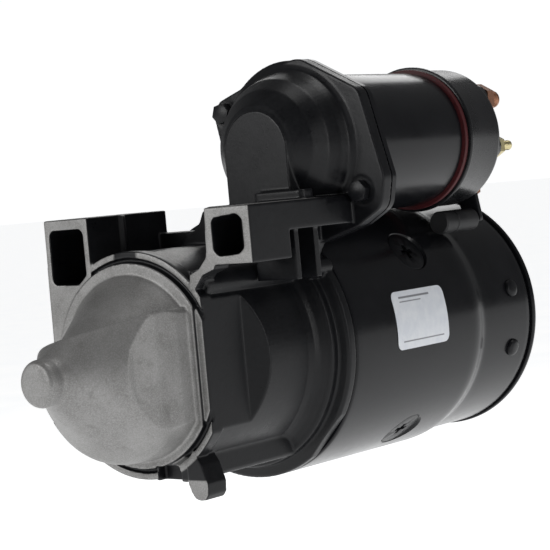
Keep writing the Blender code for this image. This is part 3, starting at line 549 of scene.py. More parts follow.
def cast_housing():
    """Painted aluminium casting, with the nose and the machined faces left bare."""
    s = Shade("drive_housing_casting", spec=0.22)
    x, y, z = s.xyz()
    n = s.normal()
    ragged = s.op("MULTIPLY_ADD", s.noise(3.4, 4.0, 0.6), 2.4, -1.2)
    yr = s.op("ADD", y, s.op("MULTIPLY", ragged, 0.35))
    radius = s.op("SQRT", s.op("ADD", s.op("MULTIPLY", x, x), s.op("MULTIPLY", z, z)))
    forward = s.span(n[1], -0.72, -0.86)
    # the dome, and what faces forward on the flange and the ears
    dome = s.both(s.span(y, -0.7, -1.0), s.span(radius, 43.6, 43.2))
    faces = s.both(forward, s.span(y, 1.1, 0.7))
    bare = s.either(dome, faces)
    # masked strip over the barrel between the ears
    right_edge = s.op("ADD", s.op("MULTIPLY_ADD", y, 0.45, ragged), x)
    strip = s.both(s.between(yr, 2.0, 42.0, 0.5), s.both(s.span(s.op("ADD", x, ragged), -19.8, -18.2), s.span(right_edge, 26.8, 25.2)))
    strip = s.both(strip, s.span(n[2], 0.35, 0.62))
    strip = s.both(strip, s.span(z, 34.0, 37.0))
    bare = s.either(bare, strip)
    pads = s.both(s.span(n[2], 0.9, 0.97), s.between(z, 61.2, 62.6, 0.2))
    pads = s.both(pads, s.span(y, 45.0, 44.0))
    bare = s.either(bare, pads)
    # overspray at the top of the ring
    top = s.both(s.span(z, 41.6, 42.6), s.between(s.op("ADD", x, ragged), -7.0, 6.0, 0.8))
    low = s.both(s.span(radius, 46.9, 47.5), s.both(s.span(z, 0.5, -0.5), s.span(z, -46.6, -46.0)))
    painted = s.either(s.both(top, s.span(y, -2.5, -1.5)), low)
    bare = s.both(bare, s.op("SUBTRACT", 1.0, painted, clamp=True))
    # shot blasted grain
    grain = s.noise(0.55, 3.0, 0.65)
    sand = s.noise(1.5, 4.0, 0.7)
    stain = s.noise(14.0, 4.0, 0.62)
    metal = s.mix(s.span(stain, 0.32, 0.7), (0.19, 0.187, 0.182), (0.27, 0.267, 0.262))
    metal = s.mix(s.span(grain, 0.42, 0.9), metal, (0.36, 0.357, 0.352))
    metal = s.mix(s.span(s.noise(5.0, 5.0, 0.7), 0.56, 0.72, 0.0, 0.45), metal, (0.13, 0.125, 0.12))
    # the black paint, varied in tone at random
    paint = s.mix(s.span(s.op("ADD", s.op("MULTIPLY", stain, 0.6), s.op("MULTIPLY", sand, 0.4)), 0.36, 0.66), (0.0034, 0.0036, 0.0045), (0.0085, 0.0088, 0.0100))
    s.put("Base Color", s.mix(bare, paint, metal))
    s.put("Metallic", s.op("MULTIPLY", bare, 0.72))
    rough_paint = s.span(s.op("ADD", s.op("MULTIPLY", stain, 0.55), s.op("MULTIPLY", sand, 0.45)), 0.32, 0.68, 0.25, 0.44)
    rough_bare = s.span(grain, 0.3, 0.7, 0.62, 0.46)
    s.put("Roughness", s.op("ADD", s.both(rough_paint, s.op("SUBTRACT", 1.0, bare)), s.both(rough_bare, bare)))
    height = s.op("ADD", s.op("MULTIPLY", sand, 0.55), s.op("MULTIPLY", s.noise(3.2, 3.0, 0.6), 0.9))
    first = s.bump(height, 0.07, 0.75)
    s.bump(s.both(grain, bare), 0.025, 0.6, first)
    return s.mat


def plated(name, low, high, rough=(0.22, 0.42), metal=1.0, grain=1.2, depth=0.012, streak=None):
    s = Shade(name, metal=metal)
    patch = s.noise(7.0, 4.0, 0.6)
    fine = s.noise(grain, 3.0, 0.6, streak)
    both = s.op("ADD", s.op("MULTIPLY", patch, 0.6), s.op("MULTIPLY", fine, 0.4))
    s.put("Base Color", s.mix(s.span(both, 0.34, 0.66), low, high))
    s.put("Roughness", s.span(both, 0.3, 0.7, rough[1], rough[0]))
    s.bump(fine, depth, 0.8)
    return s.mat


def wound(name, pitch, low, high):
    """Varnished wire laid side by side."""
    s = Shade(name, metal=0.75, coat=0.5, coat_rough=0.2)
    x, y, z = s.xyz()
    turn = s.op("MULTIPLY", s.op("ADD", y, s.op("MULTIPLY", s.noise(9.0), 1.2)), 2 * math.pi / pitch)
    wire = s.op("MULTIPLY_ADD", s.op("SINE", turn), 0.5, 0.5)
    s.put("Base Color", s.mix(s.span(wire, 0.05, 0.6), low, high))
    s.put("Roughness", s.span(s.noise(4.0), 0.3, 0.7, 0.28, 0.46))
    s.bump(wire, 0.3, 0.8)
    return s.mat


def stacked_iron():
    """Thin punched sheets pressed on the shaft."""
    s = Shade("laminated_iron", metal=0.8)
    x, y, z = s.xyz()
    sheet = s.op("MULTIPLY_ADD", s.op("SINE", s.op("MULTIPLY", y, 2 * math.pi / 0.65)), 0.5, 0.5)
    rust = s.noise(6.0, 4.0, 0.6)
    s.put("Base Color", s.mix(s.span(rust, 0.4, 0.7), (0.13, 0.128, 0.125), (0.21, 0.19, 0.17)))
    s.put("Roughness", s.span(rust, 0.3, 0.7, 0.38, 0.6))
    s.bump(sheet, 0.06, 0.7)
    return s.mat


def fibre(name, low, high):
    s = Shade(name, spec=0.4)
    strand = s.noise(0.8, 4.0, 0.7, (1.0, 6.0, 1.0))
    s.put("Base Color", s.mix(s.span(strand, 0.34, 0.66), low, high))
    s.put("Roughness", s.span(strand, 0.3, 0.7, 0.42, 0.66))
    s.bump(strand, 0.04, 0.8)
    return s.mat


def moulded(name, low=(0.0040, 0.0042, 0.0050), high=(0.0090, 0.0092, 0.0105), rough=(0.2, 0.34), grain=0.9, depth=0.012):
    s = Shade(name, spec=0.3)
    fine = s.noise(grain, 3.0, 0.6)
    flow = s.noise(18.0, 3.0, 0.6)
    s.put("Base Color", s.mix(s.span(flow, 0.35, 0.65), low, high))
    s.put("Roughness", s.span(s.op("ADD", s.op("MULTIPLY", fine, 0.4), s.op("MULTIPLY", flow, 0.6)), 0.3, 0.7, rough[0], rough[1]))
    s.bump(fine, depth, 0.8)
    return s.mat


def label_paper():
    """A blank white sticker with two plain grey rules."""
    s = Shade("blank_label", spec=0.5, coat=0.25, coat_rough=0.25)
    x, y, z = s.xyz()
    angle = s.op("MULTIPLY", s.op("ARCTAN2", z, x), 180.0 / math.pi)
    rule = s.both(s.between(angle, 14.6, 15.5, 0.12), s.between(y, 108.0, 131.0, 0.15))
    rule = s.either(rule, s.both(s.between(angle, 12.9, 13.4, 0.12), s.between(y, 108.0, 124.0, 0.15)))
    rule = s.either(rule, s.both(s.between(angle, -4.2, -3.6, 0.12), s.between(y, 107.0, 138.0, 0.15)))
    cloud = s.noise(5.0, 4.0, 0.6)
    s.put("Base Color", s.mix(rule, s.mix(s.span(cloud, 0.35, 0.65), (0.60, 0.625, 0.67), (0.68, 0.70, 0.73)), (0.2, 0.205, 0.22)))
    s.put("Roughness", s.span(cloud, 0.3, 0.7, 0.34, 0.46))
    s.bump(s.noise(1.2), 0.006, 0.6)
    return s.mat


CASTING = cast_housing()
FRAME_PAINT = black_paint("frame_black_paint", 1.8, 0.016, (0.15, 0.27))
SCREW_PAINT = black_paint("screw_black_paint", 1.0, 0.03, (0.26, 0.44))
STEEL = plated("bright_steel", (0.36, 0.36, 0.365), (0.52, 0.52, 0.525), (0.24, 0.4))
HARD_STEEL = plated("hardened_steel", (0.2, 0.2, 0.21), (0.34, 0.34, 0.35), (0.26, 0.44))
COPPER = plated("bare_copper", (0.22, 0.10, 0.06), (0.38, 0.20, 0.13), (0.36, 0.56), grain=0.7, depth=0.02)
ZINC = plated("yellow_zinc", (0.44, 0.36, 0.17), (0.66, 0.6, 0.36), (0.2, 0.38))
BRONZE = plated("sintered_bronze", (0.36, 0.24, 0.1), (0.55, 0.4, 0.18), (0.36, 0.55), grain=0.5, depth=0.03)
BARE_WIRE = wound("field_winding", 1.7, (0.12, 0.035, 0.015), (0.5, 0.19, 0.08))
IRON = stacked_iron()
CARBON = fibre("pressed_carbon", (0.02, 0.02, 0.021), (0.05, 0.048, 0.046))
GASKET = fibre("red_fibre_gasket", (0.030, 0.004, 0.005), (0.085, 0.009, 0.012))
CAP = moulded("cap_plastic")
RUBBER = moulded("boot_rubber", (0.008, 0.008, 0.009), (0.018, 0.018, 0.019), (0.42, 0.6), 0.6, 0.02)
LABEL = label_paper()

BY_SLOT = {
    "housing_paint": CASTING, "frame_paint": FRAME_PAINT, "black_steel": SCREW_PAINT, "steel": STEEL, "hard_steel": HARD_STEEL,
    "copper": COPPER, "zinc": ZINC, "bronze": BRONZE, "copper_wire": BARE_WIRE, "iron": IRON, "carbon": CARBON,
    "red_fibre": GASKET, "black_plastic": CAP, "rubber": RUBBER, "white_label": LABEL,
}
slot_of = {row["node"]: row["material_slot"] for row in frame["record"]["subparts"]}
for node_name, node in frame["nodes"].items():
    node.data.materials.clear()
    node.data.materials.append(BY_SLOT[slot_of[node_name]])



# ---------------------------------------------------------------- placing pieces
def smooth(obj, angle=30.0):
    obj.data.polygons.foreach_set("use_smooth", [True] * len(obj.data.polygons))
    obj.data.set_sharp_from_angle(angle=math.radians(angle))


def show(obj, node, body="frame_and_housing", angle=30.0, bevel=0.0, segments=2, also=(), material=None, name=None):
    """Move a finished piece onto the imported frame, where it stands for its CAD node."""
    obj.data.transform(Matrix.Translation([-c * MM for c in PAD_POINT]))
    work_col.objects.unlink(obj)
    scene_col.objects.link(obj)
    obj.display_type = "TEXTURED"
    obj.name = name or node + "_finished"
    obj.data.name = obj.name
    if bevel:
        mod = obj.modifiers.new("Edge", "BEVEL")
        mod.width = bevel * MM
        mod.segments = segments
        mod.limit_method = "ANGLE"
        mod.angle_limit = math.radians(38.0)
        mod.use_clamp_overlap = True
        graph = bpy.context.evaluated_depsgraph_get()
        mesh = bpy.data.meshes.new_from_object(obj.evaluated_get(graph))
        obj.modifiers.clear()
        obj.data = mesh
        mesh.name = obj.name
    obj.data.materials.clear()
    obj.data.materials.append(material or BY_SLOT[slot_of[node]])
    smooth(obj, angle)
    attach(obj, body)
    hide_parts(node, *also)
    return obj


def ringed(profile, step=3.0):
    """Extra rings along the straight runs of a profile, so that cuts stay local."""
    out = []
    for (r0, y0), (r1, y1) in zip(profile, profile[1:] + profile[:1]):
        out.append((r0, y0))
        run = math.hypot(r1 - r0, y1 - y0)
        if min(r0, r1) > 50.0 and abs(r1 - r0) < 0.01 and run > 2 * step:
            n = int(run / step)
            out += [(r0 + (r1 - r0) * i / n, y0 + (y1 - y0) * i / n) for i in range(1, n)]
    return out


# ---------------------------------------------------------------- drive-end housing
NOSE_PROFILE = [
    (0.0, -56.4), (7.2, -56.4), (8.2, -56.1), (9.0, -55.2), (9.5, -53.8), (9.6, -52.0), (9.6, -45.4), (9.9, -43.8), (10.8, -41.6), (17.5, -30.0), (24.3, -20.3),
    (30.8, -11.0), (34.4, -5.9), (37.4, -1.6),
    (42.1, -1.5), (42.2, 1.6), (44.0, 1.6), (44.1, 0.2), (46.6, 0.2), (46.9, 0.6), (46.9, 6.2), (46.2, 7.0), (46.2, 55.6), (46.8, 58.8), (48.4, 61.2),
    (50.6, 62.6), (52.4, 63.2), (52.8, 64.0), (52.9, 67.4), (57.2, 68.1), (58.0, 69.0), (58.0, 72.5), (57.4, 73.1), (0.0, 73.1),
]
BELLY_PROFILE = [
    (0.0, -50.5), (9.5, -50.5), (10.5, -48.4), (12.0, -46.2), (14.3, -43.1), (17.0, -40.0), (21.2, -35.4), (25.6, -31.0), (30.2, -26.4), (34.4, -22.2),
    (35.9, -20.4), (37.0, -18.4), (37.9, -15.6), (38.4, -13.0), (38.7, -8.0), (38.7, -1.0), (0.0, -1.0),
]
BELLY_SIDE = [(-60.0, 0.1), (60.0, 30.9), (60.0, -60.0), (-60.0, -60.0)]


def drive_housing():
    body = add(turned(NOSE_PROFILE, SEG_BIG), keep(turned(BELLY_PROFILE, SEG_BIG), slab(BELLY_SIDE, -60.0, 0.5)))
    # flat on the right of the flange, running out into the barrel through a slope
    body = cut(body, slab([(FLAT_X, -3.0), (60.0, -3.0), (60.0, 42.0), (FLAT_X, 24.0)], -30.0, 30.0, "xy"))
    # the rim and its groove follow the flat, and so does the side of the nose
    body = cut(body, box((34.6, 60.0), (-3.0, 0.12), (-30.3, 30.3)), box((34.5, 35.4), (-3.1, 1.5), (-26.4, 26.4)))
    body = cut(body, slab([(32.3, -1.62), (31.7, -8.0), (29.4, -18.0), (26.0, -28.0), (24.0, -42.0), (60.0, -42.0), (60.0, -1.62)], -60.0, 60.0, "xy"))
    chord = box((56.6, 90.0), (62.0, 80.0), (-60.0, 60.0))
    body = cut(body, move(chord, ring_turn(-44.0)))
    body = add(
        body,
        slab(LEFT_EAR, -0.2, LEFT_EAR_LENGTH),
        slab(RIGHT_EAR, -0.2, RIGHT_EAR_LENGTH),
        slab(RIGHT_WEB, -0.1, 9.0),
        box((43.0, 67.2), (20.0, 68.0), (50.4, 61.9)),
        slab(PAD_BASE, 43.0, 69.5),
        box((-34.0, 2.0), (43.4, 64.0), (40.0, 52.0)),
        slab(rounded([(39.0, 36.6, 2.5), (65.4, 36.6, 3), (65.4, 45.0, 3), (39.0, 45.0, 2.5)], 6), 58.0, 65.8, "xy"),
    )
    body = add(body, box((40.0, 61.0), (34.4, 37.4), (30.0, 52.0)), box((38.0, 61.0), (47.0, 50.0), (30.0, 52.0)))
    body = add(body, rod((32.6, 5.0, 31.4), (32.6, 68.0, 31.4), 6.2, 40), rod((45.6, 60.5, 32.6), (45.6, 72.6, 32.6), 4.0, 36))
    body = add(body, slab(KEEL, 1.0, 65.0), slab(TAB, -0.15, 11.4))
    # the bead of metal down the inside of the left ear
    body = add(body, rod((-20.6, 21.0, 40.0), (-20.6, 21.0, 61.4), 1.6, 24))
    arch = slab(rounded([(20.8, 58.0, 0), (20.8, 82.8 + 16.5, 16.4), (53.8, 82.8 + 16.5, 16.4), (53.8, 58.0, 0)], 24), 43.0, 60.0)
    body = add(body, turned(SOL_DOME_PROFILE, SEG_MID, (SOL_X, SOL_Z)), arch, slab(rounded(SOL_FLANGE, 8), 66.2, SOL_FLANGE_Y))
    body = cut(
        body,
        turned(CAVITY_PROFILE, SEG_MID),
        turned(SOL_CAVITY_PROFILE, SEG_MID, (SOL_X, SOL_Z)),
        slab(rounded(LEFT_POCKET, 8), -1.0, 21.0),
        slab(rounded(RIGHT_POCKET, 8), -1.0, 18.0),
        box((6.7, 18.7), (-3.0, 5.0), (-48.0, -40.8)),
        box((-60.0, -20.0), (-27.0, -2.2), (-20.0, 22.0)),
    )
    for x, z in solenoid_screw_spots():
        body = cut(body, rod((x, 50.0, z), (x, 66.4, z), 6.4, 48))
    slot = box((-9.0, 9.0), (48.6, 70.6), (30.0, 74.0))
    body = cut(body, move(slot, lever_frame()))
    body = cut(body, rod(in_lever(PIVOT_B, PIVOT_Y, -40.0), in_lever(PIVOT_B, PIVOT_Y, 18.0), 3.35, 32))
    body = cut(body, rod((-33.0, 35.0, 40.0), (-33.0, 35.0, 70.0), 5.35, 40), rod((57.5, 28.0, 45.0), (57.5, 28.0, 70.0), 5.35, 40))
    for x, z in solenoid_screw_spots():
        body = cut(body, rod((x, 60.0, z), (x, 80.0, z), 3.1, 32))
    for side in (0.0, 180.0):
        x, z = polar(THROUGH_BOLT_PCR, THROUGH_BOLT_ANGLE + side)
        body = cut(body, rod((x, 65.0, z), (x, 80.0, z), 3.2, 32))
    return body


def as_cast(obj, voxel, rounds, keep_share):
    """Give a casting its soft edges: an even skin, eased, then thinned out again."""
    mod = obj.modifiers.new("Skin", "REMESH")
    mod.mode = "VOXEL"
    mod.voxel_size = voxel * MM
    mod = obj.modifiers.new("Ease", "SMOOTH")
    mod.factor = 0.5
    mod.iterations = rounds
    if keep_share < 1.0:
        mod = obj.modifiers.new("Thin", "DECIMATE")
        mod.ratio = keep_share
    return bake(obj)


casting = as_cast(drive_housing(), 0.5, 3, 0.4)
show(casting, "drive_housing", angle=180.0)
show(turned([(5.6, -49.7), (7.7, -49.7), (7.7, -34.0), (5.6, -34.0)], 48), "nose_bushing")

# ---------------------------------------------------------------- what shows through the openings
def shift_lever():
    yoke = turned([(21.4, PIVOT_Y - 2.6), (25.2, PIVOT_Y - 2.6), (25.2, PIVOT_Y + 2.6), (21.4, PIVOT_Y + 2.6)], 32)
    yoke = cut(yoke, box((-40.0, 40.0), (PIVOT_Y - 9, PIVOT_Y + 9), (-40.0, -3.2)))
    for side in (-1, 1):
        yoke = add(yoke, rod((side * 15.7, PIVOT_Y, 0.0), (side * 24.6, PIVOT_Y, 0.0), 3.1, 14))
    arm = slab([(-7.0, 22.0), (7.0, 22.0), (7.0, 54.0), (8.0, 84.0), (8.0, 95.0), (4.5, 95.0), (4.5, 86.4),
                (-4.5, 86.4), (-4.5, 95.0), (-8.0, 95.0), (-8.0, 84.0), (-7.0, 54.0)], PIVOT_Y - 2.0, PIVOT_Y + 2.0)
    hub = rod((-8.0, PIVOT_Y, PIVOT_B), (8.0, PIVOT_Y, PIVOT_B), 6.8, 20)
    lever = add(arm, hub, yoke)
    lever = cut(lever, rod((-20.0, PIVOT_Y, PIVOT_B), (20.0, PIVOT_Y, PIVOT_B), 3.35, 20))
    lever = move(lever, about((0.0, PIVOT_Y, PIVOT_B), math.degrees(LEVER_REST), "X"))
    return move(lever, lever_frame())




def gear_outline(teeth, r_root, r_tip, root_share=0.62, tip_share=0.3):
    points = []
    for i in range(teeth):
        mid = 2 * math.pi * i / teeth
        half_root = math.pi / teeth * root_share
        half_tip = math.pi / teeth * tip_share
        for r, a in ((r_root, -half_root), ((r_root + r_tip) / 2, -(half_root * 0.45 + half_tip * 0.55)), (r_tip, -half_tip),
                     (r_tip, half_tip), ((r_root + r_tip) / 2, half_root * 0.45 + half_tip * 0.55), (r_root, half_root)):
            points.append((r * math.cos(mid + a), r * math.sin(mid + a)))
    return points




COLLAR_Y = PIVOT_Y + PIVOT_B * math.sin(LEVER_REST)
show(rod(in_lever(PIVOT_B, PIVOT_Y, -15.5), in_lever(PIVOT_B, PIVOT_Y, 15.5), 3.0, 36), "lever_pivot_pin", bevel=0.3)
show(shift_lever(), "shift_lever", "lever")
show(slab(gear_outline(9, 10.6, 14.9), -13.8, 7.4, holes=[circle(0, 0, 8.0, 48)]), "pinion_gear", "pinion", bevel=0.35)
show(turned([(8.2, 7.9), (18.4, 7.9), (19.0, 8.1), (21.5, 9.5), (26.2, 10.6), (27.0, 12.0), (27.0, 29.5), (26.0, 31.0),
             (12.5, 31.0), (11.4, 33.0), (11.4, 59.4), (8.2, 59.4)], 96), "clutch_shell", "drive")
show(turned([(6.5, -32.6), (10.6, -32.6), (11.2, -31.6), (11.2, -28.6), (6.5, -28.6)], 48), "pinion_stop_collar", "armature", bevel=0.2)
show(turned([(0.0, -49.2), (4.6, -49.2), (5.25, -48.4), (5.25, -33.6), (6.1, -33.4), (6.1, -28.2), (7.6, -27.6), (7.6, 78.0), (9.2, 79.0),
             (9.2, 170.0), (8.0, 171.0), (8.0, 200.0), (5.25, 201.0), (5.25, 227.4), (4.8, 228.0), (0.0, 228.0)], 48), "armature_shaft", "armature")


# ---------------------------------------------------------------- field frame
RIVET_Y = 201.0
RIVET_ANGLES = (10.9, -18.2, 190.9, 161.8)


def pole_angles():
    return [POLE_ANGLE + 90.0 * i for i in range(4)]


def field_frame():
    body = turned(ringed([
        (FRAME_BORE_R, 73.5), (57.3, 73.5), (57.75, 73.8), (57.95, 74.3), (58.0, 75.0), (58.0, 163.0), (57.9, 165.6), (57.6, 168.0), (57.0, 170.4), (56.4, 172.3), (55.9, 174.2),
        (55.65, 175.8), (55.6, 177.0), (55.6, 214.4), (55.4, 215.3), (55.0, 216.0), (54.4, 216.2), (FRAME_BORE_R, 216.2),
    ]), 180)
    for angle in pole_angles():
        turn = ring_turn(angle)
        body = cut(body, move(rod((49.0, POLE_Y, 0.0), (60.0, POLE_Y, 0.0), 5.1, 36), turn))
        body = cut(body, move(rod((51.8, POLE_Y, 0.0), (60.2, POLE_Y, 0.0), 5.2, 64, 13.6), turn))
    for angle in RIVET_ANGLES:
        body = cut(body, move(rod((48.0, RIVET_Y, 0.0), (60.0, RIVET_Y, 0.0), 2.3, 24), ring_turn(angle)))
    return body


show(field_frame(), "field_frame", angle=25.0)

for letter, angle in zip("abcd", pole_angles()):
    screw = turned([(0.0, 43.0), (4.7, 43.0), (4.7, 52.4), (9.8, 56.5), (10.0, 56.8), (9.6, 57.0), (0.0, 57.0)], 56)
    screw = cut(screw, box((-1.1, 1.1), (54.8, 60.0), (-3.6, 3.6)), box((-3.6, 3.6), (54.6, 60.0), (-1.1, 1.1)))
    screw = move(screw, Matrix.Translation((0, POLE_Y * MM, 0)) @ Matrix.Rotation(math.radians(-90), 4, "Z"))
    show(move(screw, ring_turn(angle)), "pole_screw_" + letter, bevel=0.2)

for name, angle in zip(("rivet_upper_right", "rivet_lower_right", "rivet_lower_left", "rivet_upper_left"), RIVET_ANGLES):
    rivet = turned([(0.0, 47.6), (2.0, 47.6), (2.0, 55.75), (4.1, 55.75), (4.1, 56.3), (3.8, 57.0), (3.1, 57.5), (1.8, 57.75), (0.0, 57.8)], 48)
    rivet = move(rivet, Matrix.Translation((0, RIVET_Y * MM, 0)) @ Matrix.Rotation(math.radians(-90), 4, "Z"))
    show(move(rivet, ring_turn(angle)), name)


def frame_label():
    skin = turned([(58.12, 103.0), (58.3, 103.0), (58.3, 142.0), (58.12, 142.0)], 180)
    outline = rounded([(103.0, -13.0, 3.2), (142.0, -13.0, 3.2), (142.0, 12.4, 3.2), (103.0, 12.4, 3.2)], 10)
    patch = slab(outline, 50.0, 62.0, "yz")
    return keep(skin, move(patch, ring_turn(5.6)))


show(frame_label(), "data_label", angle=40.0)


# ---------------------------------------------------------------- rear end
def end_frame():
    plate = turned([
        (8.3, 211.0), (12.0, 211.0), (12.0, 216.8), (56.0, 216.8), (56.4, 217.0), (56.6, 217.5), (56.6, 218.6), (56.3, 219.3), (55.6, 219.8), (50.0, 220.0), (46.0, 220.0), (44.8, 219.4), (43.4, 219.4),
        (42.2, 220.2), (30.0, 220.6), (17.6, 221.2), (15.6, 222.0), (14.4, 223.8), (13.6, 228.2), (13.2, 229.0), (12.4, 229.4), (8.8, 229.4), (8.3, 229.0),
    ], SEG_BIG)
    for extra in (0.0, 180.0):
        x, z = polar(THROUGH_BOLT_PCR, THROUGH_BOLT_ANGLE + extra)
        plate = cut(plate, rod((x, 214.0, z), (x, 224.0, z), 3.2, 32))
    return plate


show(end_frame(), "end_frame", angle=25.0)
show(turned([(5.6, 211.4), (8.0, 211.4), (8.0, 228.6), (5.6, 228.6)], 48), "end_bushing", bevel=0.2)
for name, extra in (("through_bolt_upper", 0.0), ("through_bolt_lower", 180.0)):
    x, z = polar(THROUGH_BOLT_PCR, THROUGH_BOLT_ANGLE + extra)
    bolt = add(rod((x, 65.4, z), (x, 222.0, z), 2.75, 32), slab(hexagon(x, z, 9.6), 220.5, 226.0))
    show(bolt, name, bevel=0.35)

# ---------------------------------------------------------------- solenoid
SOL = (SOL_X, SOL_Z)


def solenoid_case():
    shell = turned([(13.6, 74.0), (SOL_CASE_R, 74.0), (SOL_CASE_R, 150.4), (30.1, 151.4), (29.6, SOL_CASE_END_Y), (27.8, SOL_CASE_END_Y), (27.8, 78.0), (13.6, 78.0)], SEG_BIG, SOL)
    outline = [(x if x > 20 else x + 0.6, z) for x, z in rounded(SOL_FLANGE, 8)]
    plate = slab(outline, SOL_FLANGE_Y + 0.35, 75.0)
    plate = cut(plate, rod((SOL_X, 60.0, SOL_Z), (SOL_X, 90.0, SOL_Z), 13.6, 96))
    plate = cut(plate, rod((0.0, 60.0, 0.0), (0.0, 90.0, 0.0), 59.2, SEG_BIG))
    shell = add(shell, plate)
    for x, z in solenoid_screw_spots():
        shell = cut(shell, rod((x, 60.0, z), (x, 80.0, z), 3.1, 32))
    return shell


show(solenoid_case(), "solenoid_case", angle=25.0)
show(turned([(25.8, 152.3), (31.4, 152.3), (31.7, 152.5), (31.8, 152.9), (31.8, 153.8), (31.7, 154.2), (31.4, 154.4), (25.8, 154.4)], SEG_BIG, SOL), "cap_gasket")

BATTERY_AT, START_AT, MOTOR_AT = (54.4, 99.6), (61.4, 77.6), (40.8, 60.4)


def solenoid_cap():
    cap = turned([
        (28.6, 154.7), (32.4, 154.7), (32.85, 154.9), (33.0, 155.4), (33.0, 156.4), (32.8, 157.0), (32.2, 157.35), (31.7, 157.7), (31.5, 158.4), (31.5, 179.2), (31.35, 180.4), (30.8, 181.5), (29.9, 182.2), (28.8, 182.5),
        (0.0, 182.5), (0.0, 178.5), (28.6, 178.5),
    ], SEG_BIG, SOL)
    for (x, z), r, length in ((BATTERY_AT, 7.0, 2.4), (START_AT, 5.6, 1.6), (MOTOR_AT, 6.4, 2.4)):
        cap = add(cap, rod((x, 180.0, z), (x, 182.5 + length, z), r, 48))
    for (x, z), r in ((BATTERY_AT, 4.35), (START_AT, 2.6), (MOTOR_AT, 4.35)):
        cap = cut(cap, rod((x, 170.0, z), (x, 190.0, z), r, 40))
    return cap


show(solenoid_cap(), "solenoid_cap", angle=25.0, bevel=0.3)


def threaded(x, z, y0, y1, r, pitch=1.25, depth=0.55, seg=40):
    """A stud with turned V grooves, close to the look of a thread, ending in a chamfer."""
    profile = [(0.0, y0), (r, y0)]
    y = y0 + 0.4
    while y + pitch < y1 - 0.8:
        profile += [(r, y), (r - depth, y + pitch / 2), (r, y + pitch * 0.96)]
        y += pitch
    profile += [(r, y1 - 1.0), (r - 0.9, y1), (0.0, y1)]
    return turned(profile, seg, (x, z))


def terminal(at, r, head, head_r, end, nut_at, nut):
    x, z = at
    stud = add(rod((x, head, z), (x, head + 3.4, z), head_r, 40), rod((x, head + 2.0, z), (x, nut_at + 1.0, z), r, 40), threaded(x, z, nut_at + 0.6, end, r))
    return add(stud, slab(hexagon(x, z, nut, 30.0), nut_at, nut_at + 3.6 if r < 3 else nut_at + 5.0))


show(terminal(BATTERY_AT, 4.0, 163.4, 4.9, 200.5, 186.2, 12.6), "battery_terminal")
show(terminal(START_AT, 2.3, 174.2, 3.2, 199.6, 184.8, 9.4), "start_terminal")
show(terminal(MOTOR_AT, 4.0, 163.4, 4.9, 197.5, 189.6, 12.0), "motor_terminal")


def motor_strap():
    x, z = MOTOR_AT
    plate_ = slab(rounded([(x - 6.5, z + 6.5, 5), (x + 6.5, z + 6.5, 5), (x + 10.5, 43.4, 2.4), (x + 3.0, 42.0, 2.4)], 8), 186.0, 188.4)
    return cut(plate_, rod((x, 180.0, z), (x, 192.0, z), 4.35, 40))


show(motor_strap(), "motor_strap", bevel=0.25)
show(turned([(0.0, 158.0), (4.6, 158.0), (5.2, 158.7), (5.2, 166.0), (4.9, 166.4), (4.9, 167.4), (5.2, 167.8), (5.2, 183.6), (4.7, 184.3), (4.1, 184.6), (4.0, 185.7), (0.0, 185.7)], 48, (46.6, 44.8)), "field_lead_boot")

for name, (x, z) in zip(("solenoid_screw_upper", "solenoid_screw_lower"), solenoid_screw_spots()):
    screw = add(rod((x, 66.0, z), (x, 76.6, z), 2.75, 32), slab(hexagon(x, z, 8.0, 12.0), 62.6, 66.1))
    show(screw, name, bevel=0.4)

for left in list(work_col.objects):
    bpy.data.objects.remove(left, do_unlink=True)

# ---------------------------------------------------------------- floor, light and camera
bpy.context.view_layer.update()
FLOOR_Z = cad_bounds[0].z - 0.1


def plain_white():
    s = Shade("pale_floor", rough=0.6, spec=0.2)
    tone = s.mix(s.span(s.noise(60.0), 0.3, 0.7), (0.86, 0.87, 0.88), (0.9, 0.9, 0.9))
    s.put("Base Color", tone)
    s.put("Emission Color", tone)
    s.bsdf.inputs["Emission Strength"].default_value = 0.92
    return s.mat


bm = bmesh.new()
bmesh.ops.create_grid(bm, x_segments=2, y_segments=2, size=30.0)
floor_mesh = bpy.data.meshes.new("floor")
bm.to_mesh(floor_mesh)
bm.free()
floor = bpy.data.objects.new("floor", floor_mesh)
scene_col.objects.link(floor)
floor.location = (0, 0, FLOOR_Z)
floor.data.materials.append(plain_white())

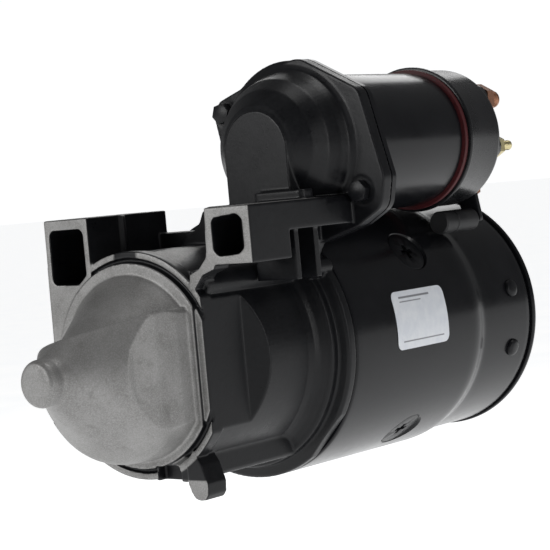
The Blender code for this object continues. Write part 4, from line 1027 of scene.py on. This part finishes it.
world = bpy.data.worlds.new("studio")
bpy.context.scene.world = world
world.use_nodes = True
world.node_tree.nodes["Background"].inputs[0].default_value = (0.985, 0.99, 1.0, 1.0)
ambient = world.node_tree.nodes["Background"].inputs[1]
path = world.node_tree.nodes.new("ShaderNodeLightPath")
level = world.node_tree.nodes.new("ShaderNodeMapRange")
level.inputs["To Min"].default_value = 0.15
level.inputs["To Max"].default_value = 1.03
world.node_tree.links.new(path.outputs["Is Camera Ray"], level.inputs["Value"])
world.node_tree.links.new(level.outputs[0], ambient)


def softbox(name, at, towards, size, power, colour=(1, 1, 1)):
    data = bpy.data.lights.new(name, "AREA")
    data.shape = "RECTANGLE"
    data.size, data.size_y = size
    data.energy = power
    data.color = colour
    obj = bpy.data.objects.new(name, data)
    scene_col.objects.link(obj)
    obj.location = at
    obj.rotation_mode = "QUATERNION"
    obj.rotation_quaternion = (Vector(towards) - Vector(at)).to_track_quat("-Z", "Y")
    return obj


MIDDLE = (0.0, 0.07, -0.04)
softbox("key", (-0.45, -0.85, 0.3), MIDDLE, (0.5, 0.4), 4.2)
softbox("side", (0.95, -0.1, 0.15), MIDDLE, (0.12, 0.7), 1.6)
softbox("over", (0.1, 0.2, 0.95), MIDDLE, (0.4, 0.5), 2.4)
softbox("back", (-0.5, 0.8, 0.5), MIDDLE, (0.5, 0.5), 1.5)

AZ, EL, ROLL = math.radians(39.38892), math.radians(2.57286), math.radians(5.12106)
back = Vector((math.sin(AZ) * math.cos(EL), -math.cos(AZ) * math.cos(EL), math.sin(EL)))
right = (-back).cross(Vector((0, 0, 1))).normalized()
up = right.cross(-back)
right2 = math.cos(ROLL) * right - math.sin(ROLL) * up
up2 = math.sin(ROLL) * right + math.cos(ROLL) * up
camera_data = bpy.data.cameras.new("camera")
camera_data.lens = 122.62
camera_data.sensor_width = 36.0
camera_data.clip_start, camera_data.clip_end = 0.05, 100.0
camera = bpy.data.objects.new("camera", camera_data)
scene_col.objects.link(camera)
camera.matrix_world = Matrix((
    (right2.x, up2.x, back.x, 0.4733), (right2.y, up2.y, back.y, -0.5623), (right2.z, up2.z, back.z, 0.0043), (0, 0, 0, 1),
))
bpy.context.scene.camera = camera
bpy.context.scene.view_settings.view_transform = "Standard"
